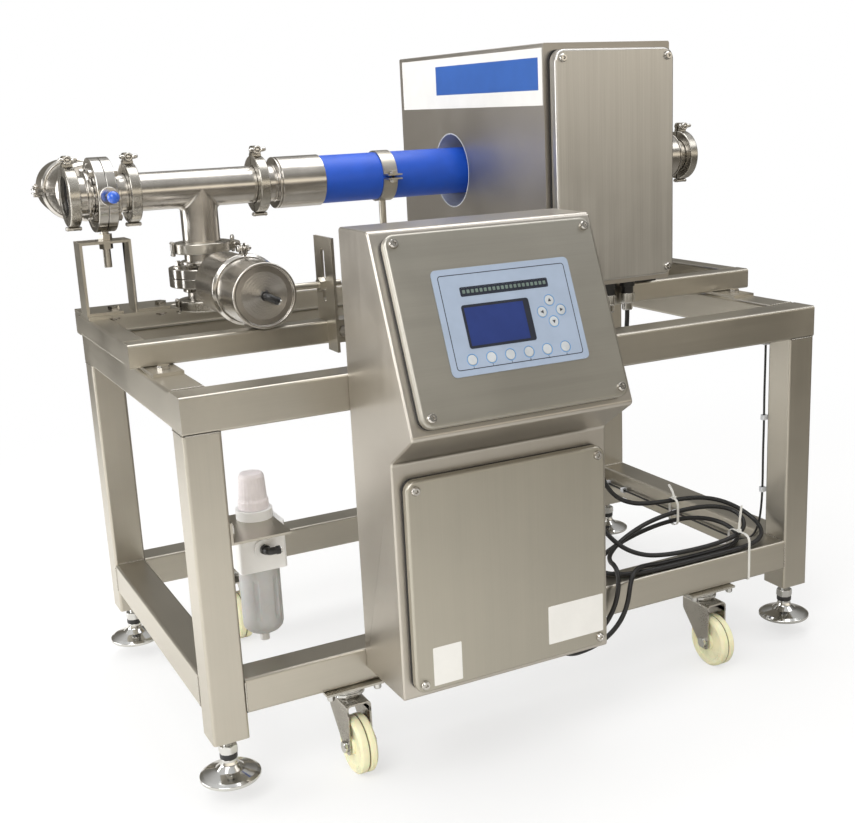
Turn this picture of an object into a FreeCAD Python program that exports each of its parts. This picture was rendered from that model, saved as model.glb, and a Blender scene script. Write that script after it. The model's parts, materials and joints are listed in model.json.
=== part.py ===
"""Pipeline metal detector: valves, detecting head and control cabinet on a wheeled stainless frame.

Millimetres. X runs along the product pipe from inlet to outlet, Y from the control panel to the
back, Z up from the floor. Places are measured from the left front corner of the base frame.
"""
import FreeCAD, Part
import Sketcher
import math
import os
from FreeCAD import Placement, Rotation, Vector

doc = FreeCAD.newDocument("pipeline_metal_detector")
sheet = doc.addObject("Spreadsheet::Sheet", "Sizes")

SIZES = {
    # Where the middle of the whole object lies from the base frame's corner
    "centre_x": 661.9,
    "centre_y": 344.5,
    # Base frame of square tube
    "frame_length": 1240.0,
    "frame_depth": 700.0,
    "frame_top": 680.0,
    "tube": 60.0,
    "tube_wall": 3.0,
    "tube_corner": 5.0,
    "leg_bottom": 110.0,
    "low_rail_top": 212.0,
    "leg_plate": 10.0,
    # Levelling feet
    "foot_stud_radius": 8.0,
    "foot_stud_play": 0.3,
    "foot_disc_radius": 50.0,
    "foot_disc_bottom": 36.0,
    "foot_rim": 5.0,
    "foot_cone_top": 66.0,
    "foot_neck_radius": 12.0,
    "foot_hex_bottom": 80.0,
    "foot_hex_top": 94.0,
    "foot_hex_radius": 16.0,
    "foot_stud_top": 182.0,
    # Swivel casters
    "wheel_radius": 50.0,
    "wheel_width": 32.0,
    "wheel_hub_radius": 16.0,
    "wheel_hub_extra": 1.2,
    "wheel_groove_depth": 2.0,
    "wheel_groove_width": 3.0,
    "axle_radius": 5.0,
    "axle_play": 0.05,
    "caster_trail": 38.0,
    "caster_plate_length": 102.0,
    "caster_plate_width": 84.0,
    "caster_plate_thickness": 4.0,
    "caster_left": 242.0,
    "caster_right": 994.0,
    "fork_gap": 2.5,
    "fork_thickness": 3.5,
    "fork_top": 128.0,
    "swivel_radius": 30.0,
    "swivel_play": 0.3,
    "kingpin_radius": 6.0,
    "kingpin_head_radius": 10.0,
    # Sub-frame that carries the pipe and the head
    "sub_tube": 40.0,
    "sub_wall": 2.5,
    "sub_left": -16.0,
    "sub_length": 1288.0,
    "sub_front": 230.0,
    "sub_rear_gap": 42.0,
    "hanger_rail_x": 576.0,
    "head_rail_x": 1046.0,
    "pad_thickness": 6.0,
    "pad_width": 50.0,
    "pad_reach": 62.0,
    "pad_inset": 6.0,
    "corner_plate_length": 166.0,
    "corner_plate_depth": 130.0,
    # Product line
    "pipe_setback": 138.0,
    "pipe_z": 948.0,
    "steel_radius": 35.0,
    "steel_bore": 33.0,
    "plastic_radius": 46.5,
    "plastic_bore": 35.0,
    "ferrule_radius": 45.5,
    "ferrule_flange": 6.0,
    "seal_thickness": 2.0,
    "seal_radius": 44.0,
    "valve_x": 37.0,
    "neck_length": 35.0,
    "neck_land": 18.0,
    "neck_bore": 34.0,
    "neck_ring_radius": 43.0,
    "neck_ring_width": 6.0,
    "neck_ring_offset": 5.0,
    "branch_x": 216.0,
    "branch_length": 110.0,
    "tee_length": 244.0,
    "adapter_neck": 24.0,
    "adapter_lip": 6.0,
    "adapter_length": 88.0,
    "adapter_radius": 49.0,
    "socket_depth": 40.0,
    "outlet_x": 1350.0,
    # Clamps on the ferrules
    "clamp_radius": 54.0,
    "clamp_width": 20.0,
    "clamp_channel": 14.0,
    "clamp_channel_radius": 46.0,
    "clamp_lip_radius": 37.0,
    "clamp_gap_angle": 4.0,
    "lug_height": 17.0,
    "lug_width": 12.0,
    "lug_thickness": 8.0,
    "lug_gap": 2.5,
    "lug_root": 3.0,
    "swing_bolt_radius": 3.5,
    "hinge_link": 9.0,
    "hinge_strap": 1.5,
    # Butterfly valves
    "valve_radius": 67.0,
    "valve_width": 36.0,
    "valve_bolt_circle": 55.0,
    "valve_bolt_radius": 4.0,
    "seat_radius": 38.0,
    "seat_width": 12.0,
    "disc_play": 0.35,
    "disc_thickness": 6.0,
    "shaft_radius": 6.0,
    "shaft_play": 0.08,
    "shaft_boss_radius": 17.0,
    "shaft_boss_reach": 76.0,
    "shaft_rear_reach": 232.0,
    "shaft_front_reach": 80.0,
    "knob_stem_radius": 4.0,
    "knob_stem_length": 18.0,
    "knob_radius": 11.0,
    "knob_reach": 105.0,
    # Pneumatic actuators
    "actuator_radius": 56.0,
    "actuator_bore": 52.5,
    "actuator_start": 118.0,
    "actuator_joint": 250.0,
    "actuator_end": 350.0,
    "actuator_neck_radius": 22.0,
    "actuator_wall": 8.0,
    "actuator_cap_wall": 5.0,
    "actuator_recess": 4.0,
    "actuator_rim_width": 5.5,
    "actuator_flange_radius": 59.0,
    "actuator_flange_width": 7.0,
    "band_radius": 63.0,
    "band_width": 22.0,
    "port_radius": 5.2,
    "piston_play": 0.1,
    "piston_start": 150.0,
    "piston_thickness": 18.0,
    "piston_sleeve_radius": 14.0,
    "piston_sleeve_start": 128.0,
    # Pipe supports
    "bracket_width": 52.0,
    "bracket_left": -16.0,
    "bracket_span": 93.0,
    "bracket_thickness": 5.0,
    "bracket_top": 866.0,
    "bracket_foot": 66.0,
    "stud_radius": 7.0,
    "stud_bottom": 816.0,
    "nut_height": 11.0,
    "nut_radius": 12.5,
    "hanger_x": 596.0,
    "hanger_width": 30.0,
    "hanger_thickness": 3.5,
    "hanger_rod_radius": 7.0,
    "hanger_base_radius": 21.0,
    "hanger_base_height": 6.0,
    "hanger_tab_reach": 22.0,
    "hanger_tab_gap": 5.0,
    "hanger_tab_thickness": 3.0,
    "slotted_x": 330.0,
    "slotted_thickness": 5.0,
    "slotted_front": 188.0,
    "slotted_depth": 80.0,
    "slotted_top": 872.0,
    "slotted_bottom": 676.0,
    "slot_width": 16.0,
    "slot_bottom": 768.0,
    "slot_top": 845.0,
    "slot_y": 232.0,
    "support_rod_radius": 6.0,
    "support_rod_z": 790.0,
    "support_rod_end": 360.0,
    # Detecting head
    "head_x": 758.0,
    "head_width": 278.0,
    "head_front": 190.0,
    "head_depth": 600.0,
    "head_bottom": 736.0,
    "head_height": 445.0,
    "head_wall": 3.0,
    "head_corner": 4.0,
    "aperture_radius": 76.0,
    "liner_wall": 3.0,
    "coil_former_wall": 4.0,
    "coil_former_clearance": 0.5,
    "coil_height": 14.0,
    "coil_width": 16.0,
    "coil_spacing": 80.0,
    "head_pad_width": 60.0,
    "head_pad_length": 36.0,
    # Bolted covers and doors
    "cover_side_margin": 9.0,
    "cover_end_margin": 12.0,
    "cover_depth": 22.0,
    "door_depth": 14.0,
    "door_side_margin": 14.0,
    "upper_door_margin": 12.0,
    "lower_door_bottom": 15.0,
    "lower_door_top": 26.0,
    "cover_skin": 2.0,
    "cover_corner": 18.0,
    "gasket_thickness": 5.0,
    "gasket_width": 9.0,
    "landing": 36.0,
    "screw_inset": 15.0,
    "screw_radius": 3.0,
    "screw_head_radius": 7.5,
    "screw_head_height": 6.0,
    # Control cabinet with a sloped upper face
    "cabinet_x": 268.0,
    "cabinet_width": 384.0,
    "cabinet_bottom": 179.0,
    "cabinet_depth": 148.0,
    "cabinet_waist": 567.0,
    "lip_depth": 228.0,
    "lip_z": 620.0,
    "cabinet_top": 909.0,
    "top_depth": 109.0,
    "cabinet_wall": 2.5,
    # Membrane panel, windows and keys, from the middle of the upper door
    "panel_width": 235.0,
    "panel_height": 161.0,
    "panel_thickness": 1.4,
    "panel_rise": 2.8,
    "panel_shift": 1.5,
    "panel_corner": 8.0,
    "screen_width": 102.0,
    "screen_height": 58.0,
    "screen_shift": -24.0,
    "screen_rise": -5.8,
    "lamp_width": 148.0,
    "lamp_height": 12.0,
    "lamp_rise": 47.0,
    "key_radius": 7.6,
    "key_play": 0.5,
    "key_thickness": 1.1,
    "key_float": 0.7,
    "arrow_shift": 71.0,
    "arrow_rise": 2.2,
    "arrow_spread": 16.6,
    "key_row_shift": 0.8,
    "key_row_rise": -54.8,
    "key_pitch": 32.0,
    # Air filter and regulator
    "filter_x": 132.0,
    "filter_y": 108.0,
    "filter_body_width": 80.0,
    "filter_body_depth": 66.0,
    "filter_body_bottom": 356.0,
    "filter_body_height": 80.0,
    "bowl_radius": 34.0,
    "bowl_wall": 3.0,
    "bowl_length": 116.0,
    "element_radius": 14.0,
    "element_length": 80.0,
    "collar_radius": 30.0,
    "collar_height": 16.0,
    "regulator_knob_radius": 25.0,
    "regulator_knob_top_radius": 21.0,
    "regulator_knob_height": 60.0,
    "regulator_stem_radius": 6.0,
    "drain_radius": 8.0,
    "drain_height": 16.0,
    "filter_bracket_thickness": 4.0,
    "filter_bracket_height": 36.0,
    # Signal plugs under the head
    "plug_x": 908.0,
    "plug_spacing": 44.0,
    "plug_y": 212.0,
    "plug_radius": 15.0,
    "plug_length": 58.0,
    # Glands under the cabinet
    "gland_radius": 10.0,
    "gland_bore": 4.7,
    "gland_length": 16.0,
    # Hexagon bolts of the frame
    "bolt_radius": 5.0,
    "bolt_head_radius": 10.5,
    "bolt_head_height": 7.0,
    "washer_radius": 13.0,
    "washer_thickness": 2.0,
}


class Size:
    """A length that holds its value and the expression that binds it to the sheet."""

    def __init__(self, value, text):
        self.value = value
        self.text = text

    @staticmethod
    def of(other):
        """Return a plain number or a size as a size."""
        return other if isinstance(other, Size) else Size(float(other), repr(float(other)))

    def __add__(self, other):
        other = Size.of(other)
        return Size(self.value + other.value, f"({self.text} + {other.text})")

    def __sub__(self, other):
        other = Size.of(other)
        return Size(self.value - other.value, f"({self.text} - {other.text})")

    def __mul__(self, other):
        other = Size.of(other)
        return Size(self.value * other.value, f"{self.text} * {other.text}")

    def __truediv__(self, other):
        other = Size.of(other)
        return Size(self.value / other.value, f"{self.text} / ({other.text})")

    def __radd__(self, other):
        return Size.of(other) + self

    def __rsub__(self, other):
        return Size.of(other) - self

    def __rmul__(self, other):
        return Size.of(other) * self

    def __neg__(self):
        return Size(-self.value, f"(0 - {self.text})")

    def root(self):
        """Return the square root."""
        return Size(math.sqrt(self.value), f"sqrt({self.text})")


class Sizes:
    """The sheet's cells by their aliases."""

    def __init__(self, values):
        for row, (alias, value) in enumerate(values.items(), start=1):
            sheet.set(f"A{row}", alias)
            sheet.set(f"B{row}", str(value))
            sheet.setAlias(f"B{row}", alias)
            setattr(self, alias, Size(value, f"Sizes.{alias}"))


S = Sizes(SIZES)
S.pipe_y = S.frame_depth - S.pipe_setback
S.sub_depth = S.frame_depth - S.sub_front - S.sub_rear_gap
doc.recompute()

nodes = []

# Turns that lay an object's own Z along a direction of the shared frame
ALONG = {
    "x": Rotation(Vector(0, 1, 0), 90),
    "-x": Rotation(Vector(0, 1, 0), -90),
    "y": Rotation(Vector(1, 0, 0), -90),
    "-y": Rotation(Vector(1, 0, 0), 90),
    "z": Rotation(),
    "-z": Rotation(Vector(1, 0, 0), 180),
}
# A flat outline drawn across and up, with its thickness along X
OUTLINE_ALONG_X = Rotation(Vector(1, 1, 1), 120)


def bind(thing, prop, size):
    """Bind one property of an object to a size."""
    thing.setExpression(prop, Size.of(size).text)


def put(thing, at, turn=Rotation()):
    """Place an object at three sizes, turned."""
    thing.Placement = Placement(Vector(*[Size.of(value).value for value in at]), turn)
    for axis, size in zip("xyz", at):
        bind(thing, f"Placement.Base.{axis}", size)
    return thing


def box(name, at, size):
    """Make a block from its low corner and its three lengths."""
    thing = doc.addObject("Part::Box", name)
    for prop, value in zip(("Length", "Width", "Height"), size):
        bind(thing, prop, value)
    return put(thing, at)


def cylinder(name, axis, at, radius, length):
    """Make a round bar that starts at a point and runs along an axis."""
    thing = doc.addObject("Part::Cylinder", name)
    bind(thing, "Radius", radius)
    bind(thing, "Height", length)
    return put(thing, at, ALONG[axis])


def hexagon(name, axis, at, radius, height):
    """Make a hexagonal block, as of a nut or a bolt's head."""
    thing = doc.addObject("Part::Prism", name)
    thing.Polygon = 6
    bind(thing, "Circumradius", radius)
    bind(thing, "Height", height)
    return put(thing, at, ALONG[axis])


def sphere(name, at, radius):
    """Make a ball."""
    thing = doc.addObject("Part::Sphere", name)
    bind(thing, "Radius", radius)
    return put(thing, at)


def cut(name, base, *tools):
    """Take the tools away from the base."""
    thing = doc.addObject("Part::Cut", name)
    thing.Base = base
    thing.Tool = tools[0] if len(tools) == 1 else join(name + "_tools", *tools)
    return thing


def join(name, *parts):
    """Weld parts to one solid."""
    thing = doc.addObject("Part::MultiFuse", name)
    thing.Shapes = list(parts)
    thing.Refine = True
    return thing


def common(name, *parts):
    """Keep what all parts share."""
    thing = doc.addObject("Part::MultiCommon", name)
    thing.Shapes = list(parts)
    return thing


def rounded(name, base, radius, direction):
    """Round the straight edges of a solid that run along a direction."""
    doc.recompute()
    fillet = doc.addObject("Part::Fillet", name)
    fillet.Base = base
    chosen = []
    for index, edge in enumerate(base.Shape.Edges, start=1):
        if edge.Curve.TypeId == "Part::GeomLine" and abs(edge.Curve.Direction.dot(direction)) > 0.99:
            chosen.append((index, radius.value, radius.value))
    fillet.Edges = chosen
    return fillet


def outline(sketch, points):
    """Draw a closed outline whose corners are bound to sizes."""
    places = [(Size.of(across), Size.of(up)) for across, up in points]
    count = len(places)
    for index, (across, up) in enumerate(places):
        after = places[(index + 1) % count]
        start = Vector(across.value, up.value, 0)
        end = Vector(after[0].value, after[1].value, 0)
        sketch.addGeometry(Part.LineSegment(start, end), False)
    for index in range(count):
        sketch.addConstraint(Sketcher.Constraint("Coincident", index, 2, (index + 1) % count, 1))
    for index, (across, up) in enumerate(places):
        for kind, size in (("DistanceX", across), ("DistanceY", up)):
            number = sketch.addConstraint(Sketcher.Constraint(kind, -1, 1, index, 1, size.value))
            sketch.setExpression(f"Constraints[{number}]", size.text)


def origin_plane(body, role):
    """Find one of a body's own origin planes."""
    return next(item for item in body.Origin.OriginFeatures if item.Role == role)


def body_with_outline(name, role, points):
    """Start a body with one sketch on one of its own planes."""
    body = doc.addObject("PartDesign::Body", name)
    sketch = body.newObject("Sketcher::SketchObject", name + "_outline")
    sketch.AttachmentSupport = [(origin_plane(body, role), "")]
    sketch.MapMode = "FlatFace"
    outline(sketch, points)
    return body, sketch


def turned(name, axis, at, points, sweep=360.0, start=0.0):
    """Make a lathe-turned solid from corners given as (radius, distance along the axis)."""
    body, sketch = body_with_outline(name, "XZ_Plane", points)
    feature = body.newObject("PartDesign::Revolution", name + "_turn")
    feature.Profile = sketch
    feature.ReferenceAxis = (sketch, ["V_Axis"])
    feature.Angle = sweep
    return put(body, at, ALONG[axis].multiply(Rotation(Vector(0, 0, 1), start)))


def plate(name, at, points, thickness, turn=OUTLINE_ALONG_X):
    """Make a flat plate from its outline."""
    body, sketch = body_with_outline(name, "XY_Plane", points)
    feature = body.newObject("PartDesign::Pad", name + "_pad")
    feature.Profile = sketch
    bind(feature, "Length", thickness)
    return put(body, at, turn)


def ring(name, axis, at, outer, inner, length):
    """Make a plain tube or washer."""
    return turned(name, axis, at, [(inner, 0), (outer, 0), (outer, length), (inner, length)])


def nut(name, axis, at, radius, hole, height):
    """Make a hexagon nut."""
    return cut(name, hexagon(name + "_hex", axis, at, radius, height),
               cylinder(name + "_hole", axis, at, hole, height))


def node(name, *parts):
    """Gather the solids of one sub-part and lay them in the shared frame."""
    thing = doc.addObject("Part::Compound", name)
    thing.Label = name
    thing.Links = list(parts)
    nodes.append(thing)
    return put(thing, (-S.centre_x, -S.centre_y, 0))


def square_tube(name, axis, at, length, outer, wall, corner):
    """Make a length of square tube with rounded edges."""
    along = {"x": Vector(1, 0, 0), "y": Vector(0, 1, 0), "z": Vector(0, 0, 1)}[axis]
    solid, hollow, inset = [outer] * 3, [outer - 2 * wall] * 3, [wall] * 3
    index = "xyz".index(axis)
    solid[index], hollow[index], inset[index] = length, length, 0
    skin = rounded(name + "_skin", box(name + "_bar", at, solid), corner, along)
    inner = [place + step for place, step in zip(at, inset)]
    return cut(name, skin, box(name + "_hollow", inner, hollow))


def tube_cap(name, axis, at, outer, wall, thickness):
    """Close a tube's end with a plate set inside it."""
    size, place = [outer - 2 * wall] * 3, [step + wall for step in at]
    index = "xyz".index(axis)
    size[index], place[index] = thickness, at[index]
    return box(name, place, size)


# Base frame

leg_places = {
    "front_left": (Size.of(0), Size.of(0)),
    "front_right": (S.frame_length - S.tube, Size.of(0)),
    "rear_left": (Size.of(0), S.frame_depth - S.tube),
    "rear_right": (S.frame_length - S.tube, S.frame_depth - S.tube),
}


def base_legs():
    """Four upright tubes, each closed by a threaded plate for its levelling foot."""
    parts = []
    for corner, (left, front) in leg_places.items():
        height = S.frame_top - S.tube - S.leg_bottom
        leg = square_tube(f"leg_{corner}", "z", (left, front, S.leg_bottom), height,
                          S.tube, S.tube_wall, S.tube_corner)
        if corner == "front_left":
            leg = cut("leg_drilled", leg, filter_bolt.hole("leg"))
        parts.append(leg)
        cap = tube_cap(f"leg_plate_{corner}_blank", "z", (left, front, S.leg_bottom),
                       S.tube, S.tube_wall, S.leg_plate)
        hole = cylinder(f"leg_plate_{corner}_hole", "z",
                        (left + S.tube / 2, front + S.tube / 2, S.leg_bottom),
                        S.foot_stud_radius + S.foot_stud_play, S.leg_plate)
        parts.append(cut(f"leg_plate_{corner}", cap, hole))
    node("base_legs", *parts)


def base_rails():
    """The upper and lower rails between the legs, with the upper long rails' ends capped."""
    parts = []
    top = S.frame_top - S.tube
    low = S.low_rail_top - S.tube
    drills = {"front": [], "rear": [], "left": [], "right": []}
    for bolt in pad_bolts():
        _, row, end = bolt.name.split("_")
        drills["rear" if row == "rear" else end].append(bolt.hole("rail"))
    for side, front in (("front", Size.of(0)), ("rear", S.frame_depth - S.tube)):
        rail = square_tube(f"top_rail_{side}", "x", (0, front, top), S.frame_length,
                           S.tube, S.tube_wall, S.tube_corner)
        parts.append(cut(f"top_rail_{side}_drilled", rail, *drills[side]) if drills[side] else rail)
        parts.append(square_tube(f"low_rail_{side}", "x", (S.tube, front, low),
                                 S.frame_length - 2 * S.tube, S.tube, S.tube_wall, S.tube_corner))
        for end, left in (("left", Size.of(0)), ("right", S.frame_length - S.tube_wall)):
            parts.append(tube_cap(f"cap_{side}_{end}", "x", (left, front, top),
                                  S.tube, S.tube_wall, S.tube_wall))
    for end, left in (("left", Size.of(0)), ("right", S.frame_length - S.tube)):
        for level, height in (("top", top), ("low", low)):
            rail = square_tube(f"{level}_rail_{end}", "y", (left, S.tube, height),
                               S.frame_depth - 2 * S.tube, S.tube, S.tube_wall, S.tube_corner)
            parts.append(cut(f"top_rail_{end}_drilled", rail, *drills[end]) if level == "top" else rail)
    node("base_rails", *parts)


def levelling_feet():
    """Four feet that screw down until they lift the casters off the floor."""
    for corner, (left, front) in leg_places.items():
        at = (left + S.tube / 2, front + S.tube / 2, 0)
        foot = turned(f"foot_{corner}_disc", "z", at, [
            (0, S.foot_disc_bottom),
            (S.foot_disc_radius, S.foot_disc_bottom),
            (S.foot_disc_radius, S.foot_disc_bottom + S.foot_rim),
            (S.foot_neck_radius, S.foot_cone_top),
            (S.foot_neck_radius, S.foot_hex_bottom),
            (S.foot_stud_radius, S.foot_hex_bottom),
            (S.foot_stud_radius, S.foot_stud_top),
            (0, S.foot_stud_top)])
        hex_at = (at[0], at[1], S.foot_hex_bottom)
        hexed = nut(f"foot_{corner}_hex", "z", hex_at, S.foot_hex_radius, S.foot_stud_radius,
                    S.foot_hex_top - S.foot_hex_bottom)
        node(f"foot_{corner}", foot, hexed)


# Casters

caster_places = {
    "front_left": (S.caster_left, S.tube / 2),
    "front_right": (S.caster_right, S.tube / 2),
    "rear_left": (S.caster_left, S.frame_depth - S.tube / 2),
    "rear_right": (S.caster_right, S.frame_depth - S.tube / 2),
}
plate_top = S.low_rail_top - S.tube
plate_bottom = plate_top - S.caster_plate_thickness


def caster_plates():
    """The fixed top plates, each with the kingpin its fork swivels on."""
    parts = []
    for corner, (across, deep) in caster_places.items():
        parts.append(box(f"caster_plate_{corner}",
                         (across - S.caster_plate_length / 2, deep - S.caster_plate_width / 2, plate_bottom),
                         (S.caster_plate_length, S.caster_plate_width, S.caster_plate_thickness)))
        pin_end = S.fork_top - S.fork_thickness - S.swivel_play
        parts.append(turned(f"kingpin_{corner}", "z", (across, deep, 0), [
            (0, pin_end - S.caster_plate_thickness),
            (S.kingpin_head_radius, pin_end - S.caster_plate_thickness),
            (S.kingpin_head_radius, pin_end),
            (S.kingpin_radius, pin_end),
            (S.kingpin_radius, plate_bottom),
            (0, plate_bottom)]))
    node("caster_plates", *parts)


def caster(corner, across, deep):
    """One swivel fork with its axle bolt, and the wheel that turns on it."""
    inner = S.wheel_width / 2 + S.fork_gap
    outer = inner + S.fork_thickness
    axle_y = deep - S.caster_trail
    race = turned(f"race_{corner}", "z", (across, deep, 0), [
        (S.kingpin_radius + S.axle_play, S.fork_top),
        (S.swivel_radius, S.fork_top),
        (S.swivel_radius, plate_bottom - S.swivel_play),
        (S.kingpin_radius + S.axle_play, plate_bottom - S.swivel_play)])
    bridge = cut(f"bridge_{corner}",
                 box(f"bridge_{corner}_blank",
                     (across - outer, deep - S.swivel_radius, S.fork_top - S.fork_thickness),
                     (2 * outer, 2 * S.swivel_radius, S.fork_thickness)),
                 cylinder(f"bridge_{corner}_hole", "z", (across, deep, S.fork_top - S.fork_thickness),
                          S.kingpin_radius + S.axle_play, S.fork_thickness))
    eye = S.wheel_hub_radius
    cheek_outline = [
        (deep - S.swivel_radius, S.fork_top - S.fork_thickness),
        (deep + S.swivel_radius, S.fork_top - S.fork_thickness),
        (deep + S.swivel_radius / 2, S.wheel_radius * 2 - eye / 2),
        (axle_y + eye, S.wheel_radius - eye / 2),
        (axle_y + eye / 2, S.wheel_radius - eye),
        (axle_y - eye / 2, S.wheel_radius - eye),
        (axle_y - eye, S.wheel_radius)]
    cheeks = []
    for side, left in (("left", across - outer), ("right", across + inner)):
        blank = plate(f"cheek_{side}_{corner}_blank", (left, 0, 0), cheek_outline, S.fork_thickness)
        hole = cylinder(f"cheek_{side}_{corner}_hole", "x", (left, axle_y, S.wheel_radius),
                        S.axle_radius, S.fork_thickness)
        cheeks.append(cut(f"cheek_{side}_{corner}", blank, hole))
    fork = join(f"fork_{corner}", race, bridge, *cheeks)
    axle = join(f"axle_{corner}",
                cylinder(f"axle_bar_{corner}", "x", (across - outer, axle_y, S.wheel_radius),
                         S.axle_radius, 2 * outer),
                hexagon(f"axle_head_{corner}", "-x", (across - outer, axle_y, S.wheel_radius),
                        S.bolt_head_radius, S.bolt_head_height),
                hexagon(f"axle_nut_{corner}", "x", (across + outer, axle_y, S.wheel_radius),
                        S.bolt_head_radius, S.bolt_head_height))
    node(f"caster_fork_{corner}", fork, axle)
    half = S.wheel_width / 2
    hub = half + S.wheel_hub_extra
    groove = S.wheel_groove_width / 2
    shoulder = S.wheel_radius * 0.9
    wheel = turned(f"wheel_{corner}", "x", (across, axle_y, S.wheel_radius), [
        (S.axle_radius + S.axle_play, -hub),
        (S.wheel_hub_radius, -hub),
        (S.wheel_hub_radius, -half * 0.8),
        (shoulder * 0.85, -half * 0.8),
        (shoulder, -half),
        (S.wheel_radius, -half * 0.6),
        (S.wheel_radius, -groove),
        (S.wheel_radius - S.wheel_groove_depth, -groove),
        (S.wheel_radius - S.wheel_groove_depth, groove),
        (S.wheel_radius, groove),
        (S.wheel_radius, half * 0.6),
        (shoulder, half),
        (shoulder * 0.85, half * 0.8),
        (S.wheel_hub_radius, half * 0.8),
        (S.wheel_hub_radius, hub),
        (S.axle_radius + S.axle_play, hub)])
    node(f"caster_wheel_{corner}", wheel)


# Sub-frame

sub_bottom = S.frame_top + S.pad_thickness
sub_top = sub_bottom + S.sub_tube
sub_right = S.sub_left + S.sub_length
sub_rear = S.sub_front + S.sub_depth


def pad_places():
    """Yield each pad's name, left edge, front edge and the place of its bolt."""
    reach = S.pad_reach
    for end, left in (("left", S.pad_inset), ("right", S.frame_length - S.pad_inset - S.pad_width)):
        middle = left + S.pad_width / 2
        yield f"front_{end}", left, S.sub_front - reach, (middle, S.sub_front - reach / 2)
        far = S.frame_depth - S.pad_inset
        yield f"rear_{end}", left, far - reach - S.sub_tube / 2, (middle, (far + sub_rear) / 2)


def subframe():
    """The small rectangular frame on its pads, with two cross rails and a plate for the inlet bracket."""
    parts = []
    for side, front in (("front", S.sub_front), ("rear", sub_rear - S.sub_tube)):
        rail = square_tube(f"sub_rail_{side}", "x", (S.sub_left, front, sub_bottom), S.sub_length,
                           S.sub_tube, S.sub_wall, S.tube_corner)
        parts.append(cut("sub_rail_drilled", rail, slot_bolt.hole("rail")) if side == "front" else rail)
        for end, left in (("left", S.sub_left), ("right", sub_right - S.sub_wall)):
            parts.append(tube_cap(f"sub_cap_{side}_{end}", "x", (left, front, sub_bottom),
                                  S.sub_tube, S.sub_wall, S.sub_wall))
    for name, left in (("left", S.sub_left), ("hanger", S.hanger_rail_x), ("head", S.head_rail_x),
                       ("right", sub_right - S.sub_tube)):
        parts.append(square_tube(f"sub_cross_{name}", "y", (left, S.sub_front + S.sub_tube, sub_bottom),
                                 S.sub_depth - 2 * S.sub_tube, S.sub_tube, S.sub_wall, S.tube_corner))
    corner = box("corner_plate_blank", (S.sub_left, sub_rear - S.corner_plate_depth, sub_top),
                 (S.corner_plate_length, S.corner_plate_depth, S.pad_thickness))
    parts.append(cut("corner_plate", corner, *[bolt.hole("deck") for bolt in bracket_bolts()]))
    drills = {bolt.name: bolt.hole("pad") for bolt in pad_bolts()}
    for name, left, front, _ in pad_places():
        depth = S.pad_reach + S.sub_tube if name.startswith("front") else S.pad_reach + S.sub_tube / 2
        pad = box(f"pad_{name}_blank", (left, front, S.frame_top), (S.pad_width, depth, S.pad_thickness))
        parts.append(cut(f"pad_{name}", pad, drills[f"pad_{name}"]))
    node("subframe", *parts)


# Product line, with joints at the clamps

joint_reach = S.valve_width / 2 + S.neck_length + S.seal_thickness / 2
inlet_joint = S.valve_x - joint_reach
valve_joint = S.valve_x + joint_reach
pipe_joint = valve_joint + S.tee_length
reject_upper_joint = S.pipe_z - S.branch_length
reject_valve_z = reject_upper_joint - joint_reach
reject_lower_joint = reject_valve_z - joint_reach
PIPE_JOINTS = {"inlet": inlet_joint, "valve": valve_joint, "adapter": pipe_joint, "outlet": S.outlet_x}
REJECT_JOINTS = {"reject_upper": reject_upper_joint, "reject_lower": reject_lower_joint}
half_seal = S.seal_thickness / 2
adapter_reach = half_seal + S.ferrule_flange + S.adapter_neck + S.adapter_lip + S.adapter_length


def on_pipe(along):
    """Return a place on the pipe's axis."""
    return along, S.pipe_y, S.pipe_z


def on_branch(height):
    """Return a place on the reject branch's axis."""
    return S.branch_x, S.pipe_y, height


def valve_neck(name, axis, at):
    """A short ferruled neck from a clamp joint to a valve's flange."""
    start = half_seal
    flange = start + S.ferrule_flange
    end = start + S.neck_length
    ring_end = end - S.neck_ring_offset
    ring_start = ring_end - S.neck_ring_width
    return turned(name, axis, at, [
        (S.steel_bore, start), (S.ferrule_radius, start), (S.ferrule_radius, flange),
        (S.steel_radius, flange), (S.steel_radius, ring_start), (S.neck_ring_radius, ring_start),
        (S.neck_ring_radius, ring_end), (S.steel_radius, ring_end), (S.steel_radius, end),
        (S.neck_bore, end), (S.neck_bore, start + S.neck_land), (S.steel_bore, start + S.neck_land)])


def adapter(name, axis, at):
    """A ferruled cup that the plastic pipe is pushed into."""
    flange = half_seal + S.ferrule_flange
    neck = flange + S.adapter_neck
    lip = neck + S.adapter_lip
    end = lip + S.adapter_length
    groove = S.adapter_lip / 2
    return turned(name, axis, at, [
        (S.steel_bore, half_seal), (S.ferrule_radius, half_seal), (S.ferrule_radius, flange),
        (S.steel_radius, flange), (S.steel_radius, neck), (S.adapter_radius, neck),
        (S.adapter_radius, neck + groove), (S.ferrule_radius, neck + groove), (S.ferrule_radius, lip),
        (S.adapter_radius, lip), (S.adapter_radius, end), (S.plastic_radius, end),
        (S.plastic_radius, end - S.socket_depth), (S.steel_bore, end - S.socket_depth)])


def ferrules():
    """The valves' necks and the two cups at the ends of the plastic pipe."""
    node("ferrules",
         valve_neck("neck_inlet", "x", on_pipe(inlet_joint)),
         valve_neck("neck_outlet", "-x", on_pipe(valve_joint)),
         valve_neck("neck_reject_upper", "-z", on_branch(reject_upper_joint)),
         valve_neck("neck_reject_lower", "z", on_branch(reject_lower_joint)),
         adapter("adapter_left", "x", on_pipe(pipe_joint)),
         adapter("adapter_right", "-x", on_pipe(S.outlet_x)))


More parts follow.
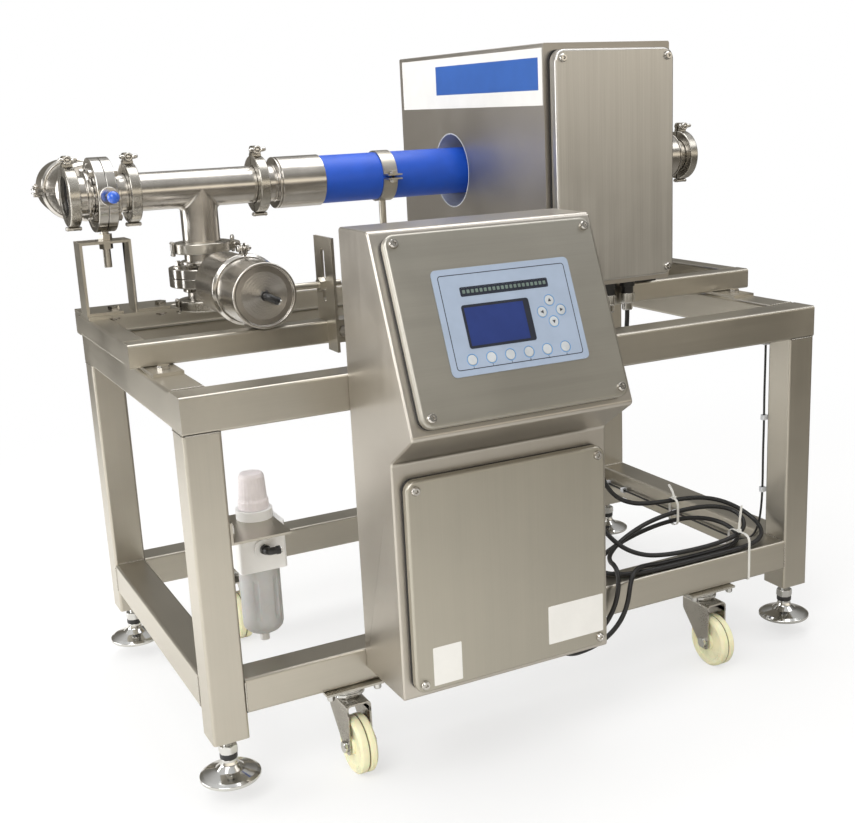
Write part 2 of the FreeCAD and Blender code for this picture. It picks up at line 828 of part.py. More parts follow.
def flange_blank(name, axis, at, reach):
    """The outside of a straight tube with a ferrule at its far end."""
    end = reach - half_seal
    return turned(name, axis, at, [
        (0, 0), (S.steel_radius, 0), (S.steel_radius, end - S.ferrule_flange),
        (S.ferrule_radius, end - S.ferrule_flange), (S.ferrule_radius, end), (0, end)])


def tee():
    """The tee that sends rejected product down the branch."""
    left = S.branch_x - valve_joint
    right = pipe_joint - S.branch_x
    solid = join("tee_solid",
                 flange_blank("tee_left", "-x", on_pipe(S.branch_x), left),
                 flange_blank("tee_right", "x", on_pipe(S.branch_x), right),
                 flange_blank("tee_branch", "-z", on_branch(S.pipe_z), S.branch_length))
    node("tee", cut("tee_run", solid,
                    cylinder("tee_bore", "x", on_pipe(valve_joint), S.steel_bore, S.tee_length),
                    cylinder("branch_bore", "-z", on_branch(S.pipe_z), S.steel_bore, S.branch_length)))


def product_pipe():
    """The plastic pipe that carries product through the head."""
    start = pipe_joint + adapter_reach - S.socket_depth
    end = S.outlet_x - adapter_reach + S.socket_depth
    node("product_pipe", ring("plastic_pipe", "x", on_pipe(start), S.plastic_radius, S.plastic_bore,
                              end - start))


def clamp_band(name, axis, at, start, sweep):
    """One half of a ferrule clamp, a channel bent to an arc."""
    half = S.clamp_width / 2
    inner = S.clamp_channel / 2
    return turned(name, axis, at, [
        (S.clamp_lip_radius, -half), (S.clamp_radius, -half), (S.clamp_radius, half),
        (S.clamp_lip_radius, half), (S.clamp_lip_radius, inner), (S.clamp_channel_radius, inner),
        (S.clamp_channel_radius, -inner), (S.clamp_lip_radius, -inner)], sweep, start)


def local_box(name, axis, at, spin, low, size):
    """A block laid out in a clamp's own frame, spun about its axis and set on it."""
    thing = doc.addObject("Part::Box", name)
    for prop, value in zip(("Length", "Width", "Height"), size):
        bind(thing, prop, value)
    put(thing, low)
    return carried(name + "_set", thing, axis, at, spin)


def carried(name, thing, axis, at, spin):
    """Set an object that was made in a clamp's own frame on that clamp."""
    holder = doc.addObject("Part::Compound", name)
    holder.Links = [thing]
    return put(holder, at, ALONG[axis].multiply(Rotation(Vector(0, 0, 1), spin)))


def clamp(name, axis, at, spin):
    """Two half bands, a hinge link with two pins, lugs, a swing bolt and a wing nut."""
    gap = SIZES["clamp_gap_angle"]
    bands = []
    for side, start, sign in (("rear", spin + gap / 2, 1), ("front", spin + 180 + gap / 2, -1)):
        band = clamp_band(f"band_{side}_{name}", axis, at, start, 180 - gap)
        lug_low = S.lug_gap if sign > 0 else -S.lug_gap - S.lug_thickness
        lug = local_box(f"lug_{side}_{name}", axis, at, spin,
                        (-S.clamp_radius - S.lug_height, lug_low, -S.lug_width / 2),
                        (S.lug_height + S.lug_root, S.lug_thickness, S.lug_width))
        bolt_hole = carried(f"lug_hole_{side}_{name}",
                            cylinder(f"lug_drill_{side}_{name}", "y", (-bolt_radius_at, lug_low, 0),
                                     S.swing_bolt_radius, S.lug_thickness), axis, at, spin)
        bands.append(cut(f"half_{side}_{name}", join(f"lugged_{side}_{name}", band, lug), bolt_hole))
    pin_radius = S.hinge_link * 0.4
    pin_reach = S.clamp_radius + pin_radius
    across = (pin_reach * pin_reach - S.hinge_link * S.hinge_link / 4).root()
    pins = [cylinder(f"hinge_pin_{side}_{name}", "z", (across, sign * S.hinge_link / 2, -S.clamp_width / 2),
                     pin_radius, S.clamp_width) for side, sign in (("rear", 1), ("front", -1))]
    straps = [box(f"hinge_strap_{side}_{name}", (across - pin_radius, -S.hinge_link, low),
                  (2 * pin_radius, 2 * S.hinge_link, S.hinge_strap))
              for side, low in (("low", -S.clamp_width / 2 - S.hinge_strap), ("high", S.clamp_width / 2))]
    hinge = carried(f"hinge_{name}", join(f"hinge_{name}_solid", *pins, *straps), axis, at, spin)
    start = -S.lug_gap - S.lug_thickness
    length = 2 * (S.lug_gap + S.lug_thickness)
    nut_height = S.lug_thickness
    wing = S.lug_width / 3
    bolt = carried(f"swing_bolt_{name}",
                   join(f"swing_bolt_{name}_solid",
                        cylinder(f"swing_bar_{name}", "y", (-bolt_radius_at, start - nut_height, 0),
                                 S.swing_bolt_radius, length + nut_height),
                        cylinder(f"swing_eye_{name}", "y", (-bolt_radius_at, start + length, 0),
                                 S.lug_width / 2, S.lug_thickness / 2),
                        hexagon(f"wing_hub_{name}", "-y", (-bolt_radius_at, start, 0),
                                S.lug_width * 0.6, nut_height),
                        box(f"wings_{name}", (-bolt_radius_at - wing / 2, start - nut_height,
                                              -S.lug_width * 1.4),
                            (wing, nut_height, S.lug_width * 2.8))),
                   axis, at, spin)
    return bands, [hinge, bolt]


bolt_radius_at = S.clamp_radius + S.lug_height * 0.6


def clamps():
    """Six clamps: the bands in one node and their hardware in another."""
    bands, hardware = [], []
    for name, along in PIPE_JOINTS.items():
        pair, rest = clamp(name, "x", on_pipe(along), 0.0)
        bands += pair
        hardware += rest
    for name, height in REJECT_JOINTS.items():
        pair, rest = clamp(name, "z", on_branch(height), 180.0)
        bands += pair
        hardware += rest
    node("clamp_bands", *bands)
    node("clamp_bolts", *hardware)


# Valves: each is described along its flow axis and its shaft axis


def valve_half(name, flow, at, side):
    """One flange of a valve body, split at the middle plane, with its half of the shaft bosses."""
    width = S.valve_width
    solid = join(f"{name}_blank",
                 turned(f"{name}_flange", flow, at, [
                     (0, -width / 2), (S.valve_radius, -width / 2), (S.valve_radius, width / 2),
                     (0, width / 2)]),
                 cylinder(f"{name}_boss", "y", (at[0], at[1] - S.shaft_boss_reach, at[2]),
                          S.shaft_boss_radius, 2 * S.shaft_boss_reach))
    tools = [turned(f"{name}_bore", flow, at, [
        (0, -width / 2), (S.steel_bore, -width / 2), (S.steel_bore, -S.seat_width / 2),
        (S.seat_radius, -S.seat_width / 2), (S.seat_radius, S.seat_width / 2),
        (S.steel_bore, S.seat_width / 2), (S.steel_bore, width / 2), (0, width / 2)]),
        cylinder(f"{name}_shaft_hole", "y", (at[0], at[1] - S.shaft_boss_reach, at[2]),
                 S.shaft_radius + S.shaft_play, 2 * S.shaft_boss_reach)]
    for index, (across, deep) in enumerate(valve_bolt_offsets()):
        place = bolt_place(flow, at, across, deep, -width / 2)
        tools.append(cylinder(f"{name}_hole_{index}", flow, place, S.valve_bolt_radius, width))
    reach = S.shaft_boss_reach
    low = [at[0] - reach, at[1] - reach, at[2] - reach]
    size = [2 * reach, 2 * reach, 2 * reach]
    index = "xyz".index(flow)
    size[index] = reach
    if side > 0:
        low[index] = at[index] - reach
    else:
        low[index] = at[index]
    tools.append(box(f"{name}_other_half", low, size))
    return cut(name, solid, *tools)


def valve_bolt_offsets():
    """Yield the four bolts' offsets across the flange, at 45 degrees to the shaft."""
    reach = S.valve_bolt_circle * math.sqrt(0.5)
    for across in (-1, 1):
        for deep in (-1, 1):
            yield across * reach, deep * reach


def bolt_place(flow, at, across, deep, along):
    """Return a bolt's start from its offsets: across the flow, into the depth, and along the flow."""
    if flow == "x":
        return at[0] + along, at[1] + deep, at[2] + across
    return at[0] + across, at[1] + deep, at[2] + along


VALVES = {"main": ("x", on_pipe(S.valve_x), "y"), "reject": ("z", on_branch(reject_valve_z), "-y")}


def valve_bodies():
    """The two bolted flanges of each butterfly valve."""
    parts = []
    for name, (flow, at, _) in VALVES.items():
        for side, sign in (("low", -1), ("high", 1)):
            parts.append(valve_half(f"{name}_valve_{side}", flow, at, sign))
    node("valve_bodies", *parts)


def seals():
    """The clamp seals and the valve seats, all black elastomer."""
    parts = []
    for name, along in PIPE_JOINTS.items():
        parts.append(ring(f"seal_{name}", "x", on_pipe(along - half_seal), S.seal_radius, S.steel_bore,
                          S.seal_thickness))
    for name, height in REJECT_JOINTS.items():
        parts.append(ring(f"seal_{name}", "z", on_branch(height - half_seal), S.seal_radius, S.steel_bore,
                          S.seal_thickness))
    for name, (flow, at, shaft) in VALVES.items():
        start = bolt_place(flow, at, 0, 0, -S.seat_width / 2)
        seat = ring(f"seat_{name}_ring", flow, start, S.seat_radius, S.steel_bore, S.seat_width)
        hole = cylinder(f"seat_{name}_hole", "y", (at[0], at[1] - S.seat_radius, at[2]),
                        S.shaft_radius + S.shaft_play, 2 * S.seat_radius)
        parts.append(cut(f"seat_{name}", seat, hole))
    parts += [face_gasket(face) for face in (HEAD, UPPER, LOWER)]
    for side, front in (("front", S.sub_front), ("rear", sub_rear - S.sub_tube)):
        deep = front + (S.sub_tube - S.head_pad_length) / 2
        for end, left in (("left", S.head_x), ("right", S.head_x + S.head_width - S.head_pad_width)):
            parts.append(box(f"head_pad_{side}_{end}", (left, deep, sub_top),
                             (S.head_pad_width, S.head_pad_length, S.head_bottom - sub_top)))
    node("seals", *parts)


def valve_discs():
    """Each butterfly disc on its shaft, the main one with the ball that shows how it points."""
    for name, (flow, at, shaft) in VALVES.items():
        disc = cylinder(f"disc_{name}", "z", (at[0], at[1], at[2] - S.disc_thickness / 2),
                        S.steel_bore - S.disc_play, S.disc_thickness)
        front = S.shaft_front_reach
        rear = S.shaft_rear_reach
        back = {"y": "-y", "-y": "y"}[shaft]
        bars = [cylinder(f"shaft_{name}_drive", shaft, at, S.shaft_radius, rear),
                cylinder(f"shaft_{name}_tail", back, at, S.shaft_radius, front)]
        knob = []
        if name == "main":
            stem_at = (at[0], at[1] - front - S.knob_stem_length, at[2])
            bars.append(cylinder("knob_stem", "y", stem_at, S.knob_stem_radius, S.knob_stem_length))
            ball = sphere("ball", (at[0], at[1] - S.knob_reach, at[2]), S.knob_radius)
            bore = cylinder("ball_bore", "y", stem_at, S.knob_stem_radius, S.knob_stem_length)
            knob.append(cut("ball_drilled", ball, bore))
        node(f"{name}_valve_disc", join(f"{name}_disc_and_shaft", disc, *bars), *knob)


# Actuators: distances run from the pipe's axis along the shaft


def actuator_housings():
    """A hollow rear body and a front cup for each valve."""
    parts = []
    joint = S.actuator_joint
    flange = S.actuator_flange_width
    for name, (flow, at, shaft) in VALVES.items():
        inner_start = S.actuator_start + S.actuator_wall
        parts.append(turned(f"actuator_body_{name}", shaft, at, [
            (S.shaft_radius + S.shaft_play, S.shaft_boss_reach),
            (S.actuator_neck_radius, S.shaft_boss_reach),
            (S.actuator_neck_radius, S.actuator_start),
            (S.actuator_radius - S.actuator_wall / 2, S.actuator_start),
            (S.actuator_radius, inner_start),
            (S.actuator_radius, joint - flange),
            (S.actuator_flange_radius, joint - flange),
            (S.actuator_flange_radius, joint),
            (S.actuator_bore, joint),
            (S.actuator_bore, inner_start),
            (S.shaft_radius + S.shaft_play, inner_start)]))
        end = S.actuator_end
        recess = end - S.actuator_recess
        rim = S.actuator_radius - S.actuator_rim_width
        inside = recess - S.actuator_cap_wall
        parts.append(turned(f"actuator_cup_{name}", shaft, at, [
            (S.actuator_bore, joint), (S.actuator_flange_radius, joint),
            (S.actuator_flange_radius, joint + flange), (S.actuator_radius, joint + flange),
            (S.actuator_radius, end), (rim, end), (rim, recess), (S.port_radius, recess),
            (S.port_radius, inside), (S.actuator_bore, inside)]))
    node("actuator_housings", *parts)


def actuator_clamps():
    """A two-part band at each actuator's joint, closed by two bolted pairs of tabs."""
    parts = []
    gap = SIZES["clamp_gap_angle"]
    half = S.band_width / 2
    channel = S.actuator_flange_width
    tab = S.lug_height + S.lug_root
    for name, (flow, at, shaft) in VALVES.items():
        spin = 0.0 if name == "main" else 90.0
        middle = S.actuator_joint
        for side, start, sign in (("a", spin + gap / 2, 1), ("b", spin + 180 + gap / 2, -1)):
            band = turned(f"joint_band_{side}_{name}", shaft, at, [
                (S.actuator_radius, middle - half), (S.band_radius, middle - half),
                (S.band_radius, middle + half), (S.actuator_radius, middle + half),
                (S.actuator_radius, middle + channel), (S.actuator_flange_radius, middle + channel),
                (S.actuator_flange_radius, middle - channel), (S.actuator_radius, middle - channel)],
                180 - gap, start)
            low = S.lug_gap if sign > 0 else -S.lug_gap - S.lug_thickness / 2
            tabs = []
            for end, left in (("near", S.band_radius - S.lug_root), ("far", -S.band_radius - S.lug_height)):
                tabs.append(local_box(f"tab_{end}_{side}_{name}", shaft, at, spin,
                                      (left, low, middle - S.lug_width * 0.8),
                                      (tab, S.lug_thickness / 2, S.lug_width * 1.6)))
            parts.append(join(f"joint_half_{side}_{name}", band, *tabs))
        for end, across in (("near", S.band_radius + S.lug_height / 2),
                            ("far", -S.band_radius - S.lug_height / 2)):
            reach = S.lug_gap + S.lug_thickness / 2
            for kind, direction, offset in (("head", "y", reach), ("nut", "-y", -reach)):
                bolt = hexagon(f"tab_{kind}_{end}_{name}", direction, (across, offset, middle),
                               S.lug_width * 0.55, S.lug_thickness * 0.8)
                parts.append(carried(f"tab_{kind}_{end}_{name}_set", bolt, shaft, at, spin))
    node("actuator_clamps", *parts)


def pistons():
    """The piston in each actuator, whose sleeve turns the shaft as it slides."""
    for name, (flow, at, shaft) in VALVES.items():
        sleeve = S.piston_sleeve_start
        start = S.piston_start
        end = start + S.piston_thickness
        bore = S.shaft_radius + S.foot_stud_play
        piston = turned(f"piston_{name}_solid", shaft, at, [
            (bore, sleeve), (S.piston_sleeve_radius, sleeve), (S.piston_sleeve_radius, start),
            (S.actuator_bore - S.piston_play, start), (S.actuator_bore - S.piston_play, end),
            (bore, end)])
        node(f"{name}_piston", piston)


# Bolts: each set runs from under its head, through a grip, to its nut


class Bolt:
    """One hexagon bolt with its nut, and the hole it needs."""

    def __init__(self, name, axis, at, grip, radius=S.bolt_radius, head=S.bolt_head_radius):
        self.name, self.axis, self.at, self.grip, self.radius, self.head = name, axis, at, grip, radius, head

    def along(self, distance):
        """Return the place a distance past the underside of the head."""
        step = -1 if self.axis.startswith("-") else 1
        index = "xyz".index(self.axis[-1])
        place = list(self.at)
        place[index] = place[index] + distance * step
        return tuple(place)

    def solids(self):
        """Make the bolt and its nut."""
        height = S.bolt_head_height
        bolt = join(f"bolt_{self.name}",
                    hexagon(f"bolt_head_{self.name}", self.axis, self.along(-height), self.head, height),
                    cylinder(f"bolt_shank_{self.name}", self.axis, self.at, self.radius,
                             self.grip + height + S.washer_thickness))
        return [bolt, nut(f"bolt_nut_{self.name}", self.axis, self.along(self.grip), self.head,
                          self.radius, height)]

    def hole(self, part):
        """Make the drill that clears this bolt's shank in one part."""
        return cylinder(f"drill_{self.name}_{part}", self.axis, self.at, self.radius + S.foot_stud_play,
                        self.grip)


def pad_bolts():
    """Yield the bolts that hold the sub-frame's pads on the base frame."""
    for name, left, front, (across, deep) in pad_places():
        yield Bolt(f"pad_{name}", "-z", (across, deep, sub_bottom), S.pad_thickness + S.tube_wall)


deck = sub_top + S.pad_thickness


def bracket_bolts():
    """Yield the bolts of the inlet bracket's two feet."""
    far_side = S.bracket_left + S.bracket_span - S.bracket_thickness
    for name, left in (("left", S.bracket_left), ("right", far_side)):
        yield Bolt(f"bracket_{name}", "-z", (left + S.bracket_foot - S.nut_radius, S.pipe_y,
                                             deck + S.bracket_thickness),
                   S.bracket_thickness + S.pad_thickness)


slot_bolt = Bolt("slotted", "y", (S.slotted_x + S.slotted_thickness + S.bracket_foot / 3,
                                  S.sub_front - S.slotted_thickness, sub_bottom + S.sub_tube / 2),
                 S.slotted_thickness + S.sub_wall)
filter_top = S.filter_body_bottom + S.filter_body_height
filter_bolt = Bolt("filter", "-x", (S.tube + S.filter_bracket_thickness, S.tube / 2,
                                    filter_top + S.filter_bracket_height / 2),
                   S.filter_bracket_thickness + S.tube_wall)


def frame_bolts():
    """Every hexagon bolt and nut of the frame, the brackets and the valve flanges."""
    parts = []
    for bolt in (*pad_bolts(), *bracket_bolts(), slot_bolt, filter_bolt):
        parts += bolt.solids()
    for name, (flow, at, _) in VALVES.items():
        for index, (across, deep) in enumerate(valve_bolt_offsets()):
            place = bolt_place(flow, at, across, deep, -S.valve_width / 2)
            parts += Bolt(f"{name}_{index}", flow, place, S.valve_width, S.valve_bolt_radius,
                          S.valve_bolt_radius * 1.8).solids()
    node("frame_bolts", *parts)


def filter_bracket():
    """The angle that carries the filter on the front left leg."""
    top = S.filter_body_bottom + S.filter_body_height
    thick = S.filter_bracket_thickness
    neck = S.collar_radius * 0.6
    arm = cut("filter_arm",
              box("filter_arm_blank", (S.tube, S.tube_corner, top),
                  (S.filter_x - S.tube + neck * 1.5, S.filter_y + neck * 1.5, thick)),
              cylinder("filter_arm_hole", "z", (S.filter_x, S.filter_y, top), neck, thick))
    upright = box("filter_upright", (S.tube, S.tube_corner, top),
                  (thick, S.tube - 2 * S.tube_corner, S.filter_bracket_height))
    return cut("filter_bracket", join("filter_bracket_solid", arm, upright),
               filter_bolt.hole("filter_bracket"))


def support_brackets():
    """The inlet bracket with its stud, the pipe hanger, the slotted plate with its rod,
    the filter's angle."""
    thick = S.bracket_thickness
    width = S.bracket_width
    front = S.pipe_y - width / 2
    parts = []
    inner = S.bracket_left + thick
    top = box("bracket_top_plate", (inner, front, S.bracket_top - thick),
              (S.bracket_span - 2 * thick, width, thick))
    parts.append(cut("bracket_top", top, cylinder("bracket_stud_hole", "z",
                                                  (S.valve_x, S.pipe_y, S.bracket_top - thick),
                                                  S.stud_radius + S.foot_stud_play, thick)))
    feet = zip(("left", "right"), (S.bracket_left, S.bracket_left + S.bracket_span - thick), bracket_bolts())
    for name, left, bolt in feet:
        parts.append(box(f"bracket_leg_{name}", (left, front, deck), (thick, width, S.bracket_top - deck)))
        foot = box(f"bracket_foot_{name}", (left + thick, front, deck),
                   (S.bracket_foot - thick, width, thick))
        parts.append(cut(f"bracket_foot_{name}_drilled", foot, bolt.hole("bracket")))
    stud_top = S.pipe_z - S.valve_radius
    parts.append(cylinder("valve_stud", "z", (S.valve_x, S.pipe_y, S.stud_bottom), S.stud_radius,
                          stud_top - S.stud_bottom))
    for name, height in (("under", S.bracket_top - thick - S.nut_height), ("over", S.bracket_top)):
        parts.append(nut(f"stud_nut_{name}", "z", (S.valve_x, S.pipe_y, height), S.nut_radius,
                         S.stud_radius, S.nut_height))
    outer = S.plastic_radius + S.hanger_thickness
    start = S.hanger_x - S.hanger_width / 2
    tab_low = S.pipe_z - S.hanger_tab_gap / 2 - S.hanger_tab_thickness
    band = ring("hanger_ring", "x", on_pipe(start), outer, S.plastic_radius, S.hanger_width)
    tab_size = (S.hanger_width, S.hanger_tab_reach + outer - S.plastic_radius / 2, S.hanger_tab_thickness)
    tab_front = S.pipe_y - outer - S.hanger_tab_reach
    tabs = [box(f"hanger_tab_{name}", (start, tab_front, low), tab_size)
            for name, low in (("low", tab_low), ("high", S.pipe_z + S.hanger_tab_gap / 2))]
    rod = cylinder("hanger_rod", "z", (S.hanger_x, S.pipe_y, sub_top), S.hanger_rod_radius,
                   S.pipe_z - outer - sub_top + S.hanger_thickness / 2)
    base = cylinder("hanger_base", "z", (S.hanger_x, S.pipe_y, sub_top), S.hanger_base_radius,
                    S.hanger_base_height)
    pipe_space = cylinder("hanger_space", "x", on_pipe(start), S.plastic_radius, S.hanger_width)
    slit = box("hanger_slit", (start, tab_front, S.pipe_z - S.hanger_tab_gap / 2),
               (S.hanger_width, S.pipe_y - tab_front, S.hanger_tab_gap))
    parts.append(cut("pipe_hanger", join("hanger_solid", band, *tabs, rod, base), pipe_space, slit))
    screw_y = S.pipe_y - outer - S.hanger_tab_reach / 2
    screw_low = tab_low - S.nut_height / 2
    screw = cylinder("hanger_screw", "z", (S.hanger_x, screw_y, screw_low), S.screw_radius,
                     2 * (S.pipe_z - screw_low))
    parts[-1] = cut("pipe_hanger_drilled", parts[-1],
                    cylinder("hanger_screw_hole", "z", (S.hanger_x, screw_y, tab_low), S.screw_radius,
                             2 * (S.pipe_z - tab_low)))
    head = hexagon("hanger_screw_head", "z", (S.hanger_x, screw_y, 2 * S.pipe_z - tab_low),
                   S.screw_head_radius, S.nut_height / 2)
    foot = hexagon("hanger_screw_nut", "z", (S.hanger_x, screw_y, screw_low), S.screw_head_radius,
                   S.nut_height / 2)
    parts.append(join("hanger_screw_set", screw, head, foot))
    back = S.slotted_front + S.slotted_depth
    upright = plate("slotted_upright", (S.slotted_x, 0, 0), [
        (S.slotted_front, S.slotted_bottom), (S.sub_front, S.slotted_bottom), (S.sub_front, sub_top),
        (back, sub_top), (back, S.slotted_top), (S.slotted_front, S.slotted_top)], S.slotted_thickness)
    fold = box("slotted_fold", (S.slotted_x, S.sub_front - S.slotted_thickness, sub_bottom),
               (S.bracket_foot * 0.7, S.slotted_thickness, S.sub_tube))
    slot = box("slot_middle", (S.slotted_x, S.slot_y - S.slot_width / 2, S.slot_bottom),
               (S.slotted_thickness, S.slot_width, S.slot_top - S.slot_bottom))
    ends = [cylinder(f"slot_end_{name}", "x", (S.slotted_x, S.slot_y, height), S.slot_width / 2,
                     S.slotted_thickness)
            for name, height in (("low", S.slot_bottom), ("high", S.slot_top))]
    parts.append(cut("slotted_plate", join("slotted_solid", upright, fold), slot, *ends,
                     slot_bolt.hole("plate")))
    rod_at = (S.branch_x, S.slot_y, S.support_rod_z)
    housing = cylinder("support_rod_end", "y", (S.branch_x, S.slot_y - S.slot_width, reject_valve_z),
                       S.actuator_radius, 2 * S.slot_width)
    parts.append(cut("support_rod",
                     cylinder("support_rod_bar", "x", rod_at, S.support_rod_radius,
                              S.support_rod_end - S.branch_x), housing))
    for name, left in (("left", S.slotted_x - S.nut_height), ("right", S.slotted_x + S.slotted_thickness)):
        parts.append(nut(f"support_nut_{name}", "x", (left, S.slot_y, S.support_rod_z), S.nut_radius,
                         S.support_rod_radius, S.nut_height))
    parts.append(filter_bracket())
    node("support_brackets", *parts)


# Flat faces that carry a bolted cover; each is laid out from its middle, outward along its own Z


class Face:
    """A face of a housing with the cover that is screwed on it."""

    def __init__(self, name, centre, tilt, width, height, depth):
        self.name, self.centre, self.tilt = name, centre, tilt
        self.width, self.height, self.depth = width, height, depth

    def carry(self, thing):
        """Set an object that was made in the face's own frame on the face."""
        holder = doc.addObject("Part::Compound", f"{thing.Name}_on_{self.name}")
        holder.Links = [thing]
        put(holder, self.centre, Rotation(Vector(1, 0, 0), self.tilt.value))
        holder.setExpression("Placement.Rotation.Angle", self.tilt.text)
        return holder

    def slab(self, name, margin, low, high):
        """Make a block in the middle of the face, a margin inside the cover's edge."""
        return box(f"{name}_{self.name}", (margin - self.width / 2, margin - self.height / 2, low),
                   (self.width - 2 * margin, self.height - 2 * margin, high - low))

    def screws(self):
        """Yield the four screws' places across and up the face."""
        for name, side, end in (("a", -1, -1), ("b", 1, -1), ("c", 1, 1), ("d", -1, 1)):
            yield (name, (self.width / 2 - S.screw_inset) * side, (self.height / 2 - S.screw_inset) * end)


UPRIGHT = Size(90.0, "90 deg")
slope_run = S.lip_depth - S.top_depth
slope_rise = S.cabinet_top - S.lip_z
slope = (slope_run * slope_run + slope_rise * slope_rise).root()
LEAN = Size(90.0 - math.degrees(math.atan(slope_run.value / slope_rise.value)),
            f"90 deg - atan({slope_run.text} / {slope_rise.text})")
cabinet_middle = S.cabinet_x + S.cabinet_width / 2
HEAD = Face("head", (S.head_x + S.head_width / 2, S.head_front, S.head_bottom + S.head_height / 2), UPRIGHT,
            S.head_width - 2 * S.cover_side_margin, S.head_height - 2 * S.cover_end_margin, S.cover_depth)
UPPER = Face("upper", (cabinet_middle, -(S.lip_depth + S.top_depth) / 2, (S.lip_z + S.cabinet_top) / 2), LEAN,
             S.cabinet_width - 2 * S.door_side_margin, slope - 2 * S.upper_door_margin, S.door_depth)
lower_edge = S.cabinet_bottom + S.lower_door_bottom
upper_edge = S.cabinet_waist - S.lower_door_top
LOWER = Face("lower", (cabinet_middle, -S.cabinet_depth, (lower_edge + upper_edge) / 2), UPRIGHT,
             S.cabinet_width - 2 * S.door_side_margin, upper_edge - lower_edge, S.door_depth)
Z_AXIS = Vector(0, 0, 1)


def cover_pan(face, *tools):
    """A folded pan with rounded corners, drilled for its four screws."""
    top = S.gasket_thickness + face.depth
    skin = rounded(f"pan_{face.name}", face.slab("pan_blank", Size.of(0), S.gasket_thickness, top),
                   S.cover_corner, Z_AXIS)
    inside = rounded(f"pan_inside_{face.name}",
                     face.slab("pan_hollow", S.cover_skin, S.gasket_thickness, top - S.cover_skin),
                     S.cover_corner - S.cover_skin, Z_AXIS)
    drills = [cylinder(f"pan_drill_{name}_{face.name}", "z", (across, up, top - S.cover_skin),
                       S.screw_radius + S.foot_stud_play, S.cover_skin)
              for name, across, up in face.screws()]
    return face.carry(cut(f"cover_{face.name}", skin, inside, *drills, *tools))


def face_gasket(face):
    """The soft frame between a housing and its cover."""
    blank = rounded(f"gasket_{face.name}",
                    face.slab("gasket_blank", Size.of(0), Size.of(0), S.gasket_thickness),
                    S.cover_corner, Z_AXIS)
    return face.carry(cut(f"gasket_frame_{face.name}", blank,
                          face.slab("gasket_hole", S.gasket_width, Size.of(0), S.gasket_thickness)))


def face_opening(face, wall):
    """The window that is cut in a housing behind its cover, with the four screw holes."""
    window = face.slab("window", S.landing, -2 * wall, wall)
    drills = [cylinder(f"thread_{name}_{face.name}", "z", (across, up, -2 * wall), S.screw_radius, 3 * wall)
              for name, across, up in face.screws()]
    return [face.carry(tool) for tool in (window, *drills)]


def cover_screws():
    """Twelve domed screws, four to a cover."""
    parts = []
    for face, wall in ((HEAD, S.head_wall), (UPPER, S.cabinet_wall), (LOWER, S.cabinet_wall)):
        top = S.gasket_thickness + face.depth
        dome = S.screw_head_height
        for name, across, up in face.screws():
            parts.append(face.carry(turned(f"screw_{name}_{face.name}", "z", (across, up, 0), [
                (0, -wall), (S.screw_radius, -wall), (S.screw_radius, top), (S.screw_head_radius, top),
                (S.screw_head_radius, top + dome / 2), (S.screw_head_radius * 0.75, top + dome),
                (S.screw_radius, top + dome), (S.screw_radius * 0.6, top + dome / 2),
                (0, top + dome / 2)])))
    node("cover_screws", *parts)


# Detecting head


def head_shell():
    """The stainless box around the aperture, open behind its cover."""
    wall = S.head_wall
    at = (S.head_x, S.head_front, S.head_bottom)
    size = (S.head_width, S.head_depth, S.head_height)
    skin = rounded("head_skin", box("head_block", at, size), S.head_corner, Vector(0, 1, 0))
    inside = box("head_inside", [place + wall for place in at], [length - 2 * wall for length in size])
    bore = cylinder("head_bore", "x", (S.head_x, S.pipe_y, S.pipe_z), S.aperture_radius, S.head_width)
    plugs = [cylinder(f"plug_hole_{index}", "z", (across, S.plug_y, S.head_bottom), S.plug_radius * 0.6, wall)
             for index, across in enumerate(plug_places())]
    node("head_shell", cut("head_box", skin, inside, bore, *plugs, *face_opening(HEAD, wall)))


def head_liner():
    """The plastic tube that lines the aperture from side to side."""
    outer = S.aperture_radius
    node("head_liner", ring("aperture_liner", "x", (S.head_x, S.pipe_y, S.pipe_z), outer,
                            outer - S.liner_wall, S.head_width))


def head_coils():
    """The coil former with one sending and two receiving coils, and its signal board."""
    inner = S.aperture_radius + S.coil_former_clearance
    outer = inner + S.coil_former_wall
    start = S.head_x + S.head_wall
    middle = S.head_x + S.head_width / 2
    parts = [ring("coil_former", "x", (start, S.pipe_y, S.pipe_z), outer, inner,
                  S.head_width - 2 * S.head_wall)]
    for index in (-1, 0, 1):
        place = (middle + S.coil_spacing * index - S.coil_width / 2, S.pipe_y, S.pipe_z)
        parts.append(ring(f"coil_{index + 1}", "x", place, outer + S.coil_height, outer, S.coil_width))
    board_z = S.head_bottom + S.head_wall
    parts.append(box("signal_board_foot", (middle - S.coil_spacing, S.pipe_y - 4 * S.coil_spacing, board_z),
                     (2 * S.coil_spacing, S.coil_spacing, S.coil_width)))
    parts.append(box("signal_board", (middle - S.coil_spacing, S.pipe_y - 4 * S.coil_spacing,
                                      board_z + S.coil_width),
                     (2 * S.coil_spacing, 2 * S.coil_spacing, S.panel_thickness)))
    node("head_coils", *parts)


def plug_places():
    """Yield the places of the two signal plugs along X."""
    yield S.plug_x
    yield S.plug_x + S.plug_spacing


def head_cover():
    """The domed-screw cover on the head's front."""
    node("head_cover", cover_pan(HEAD))


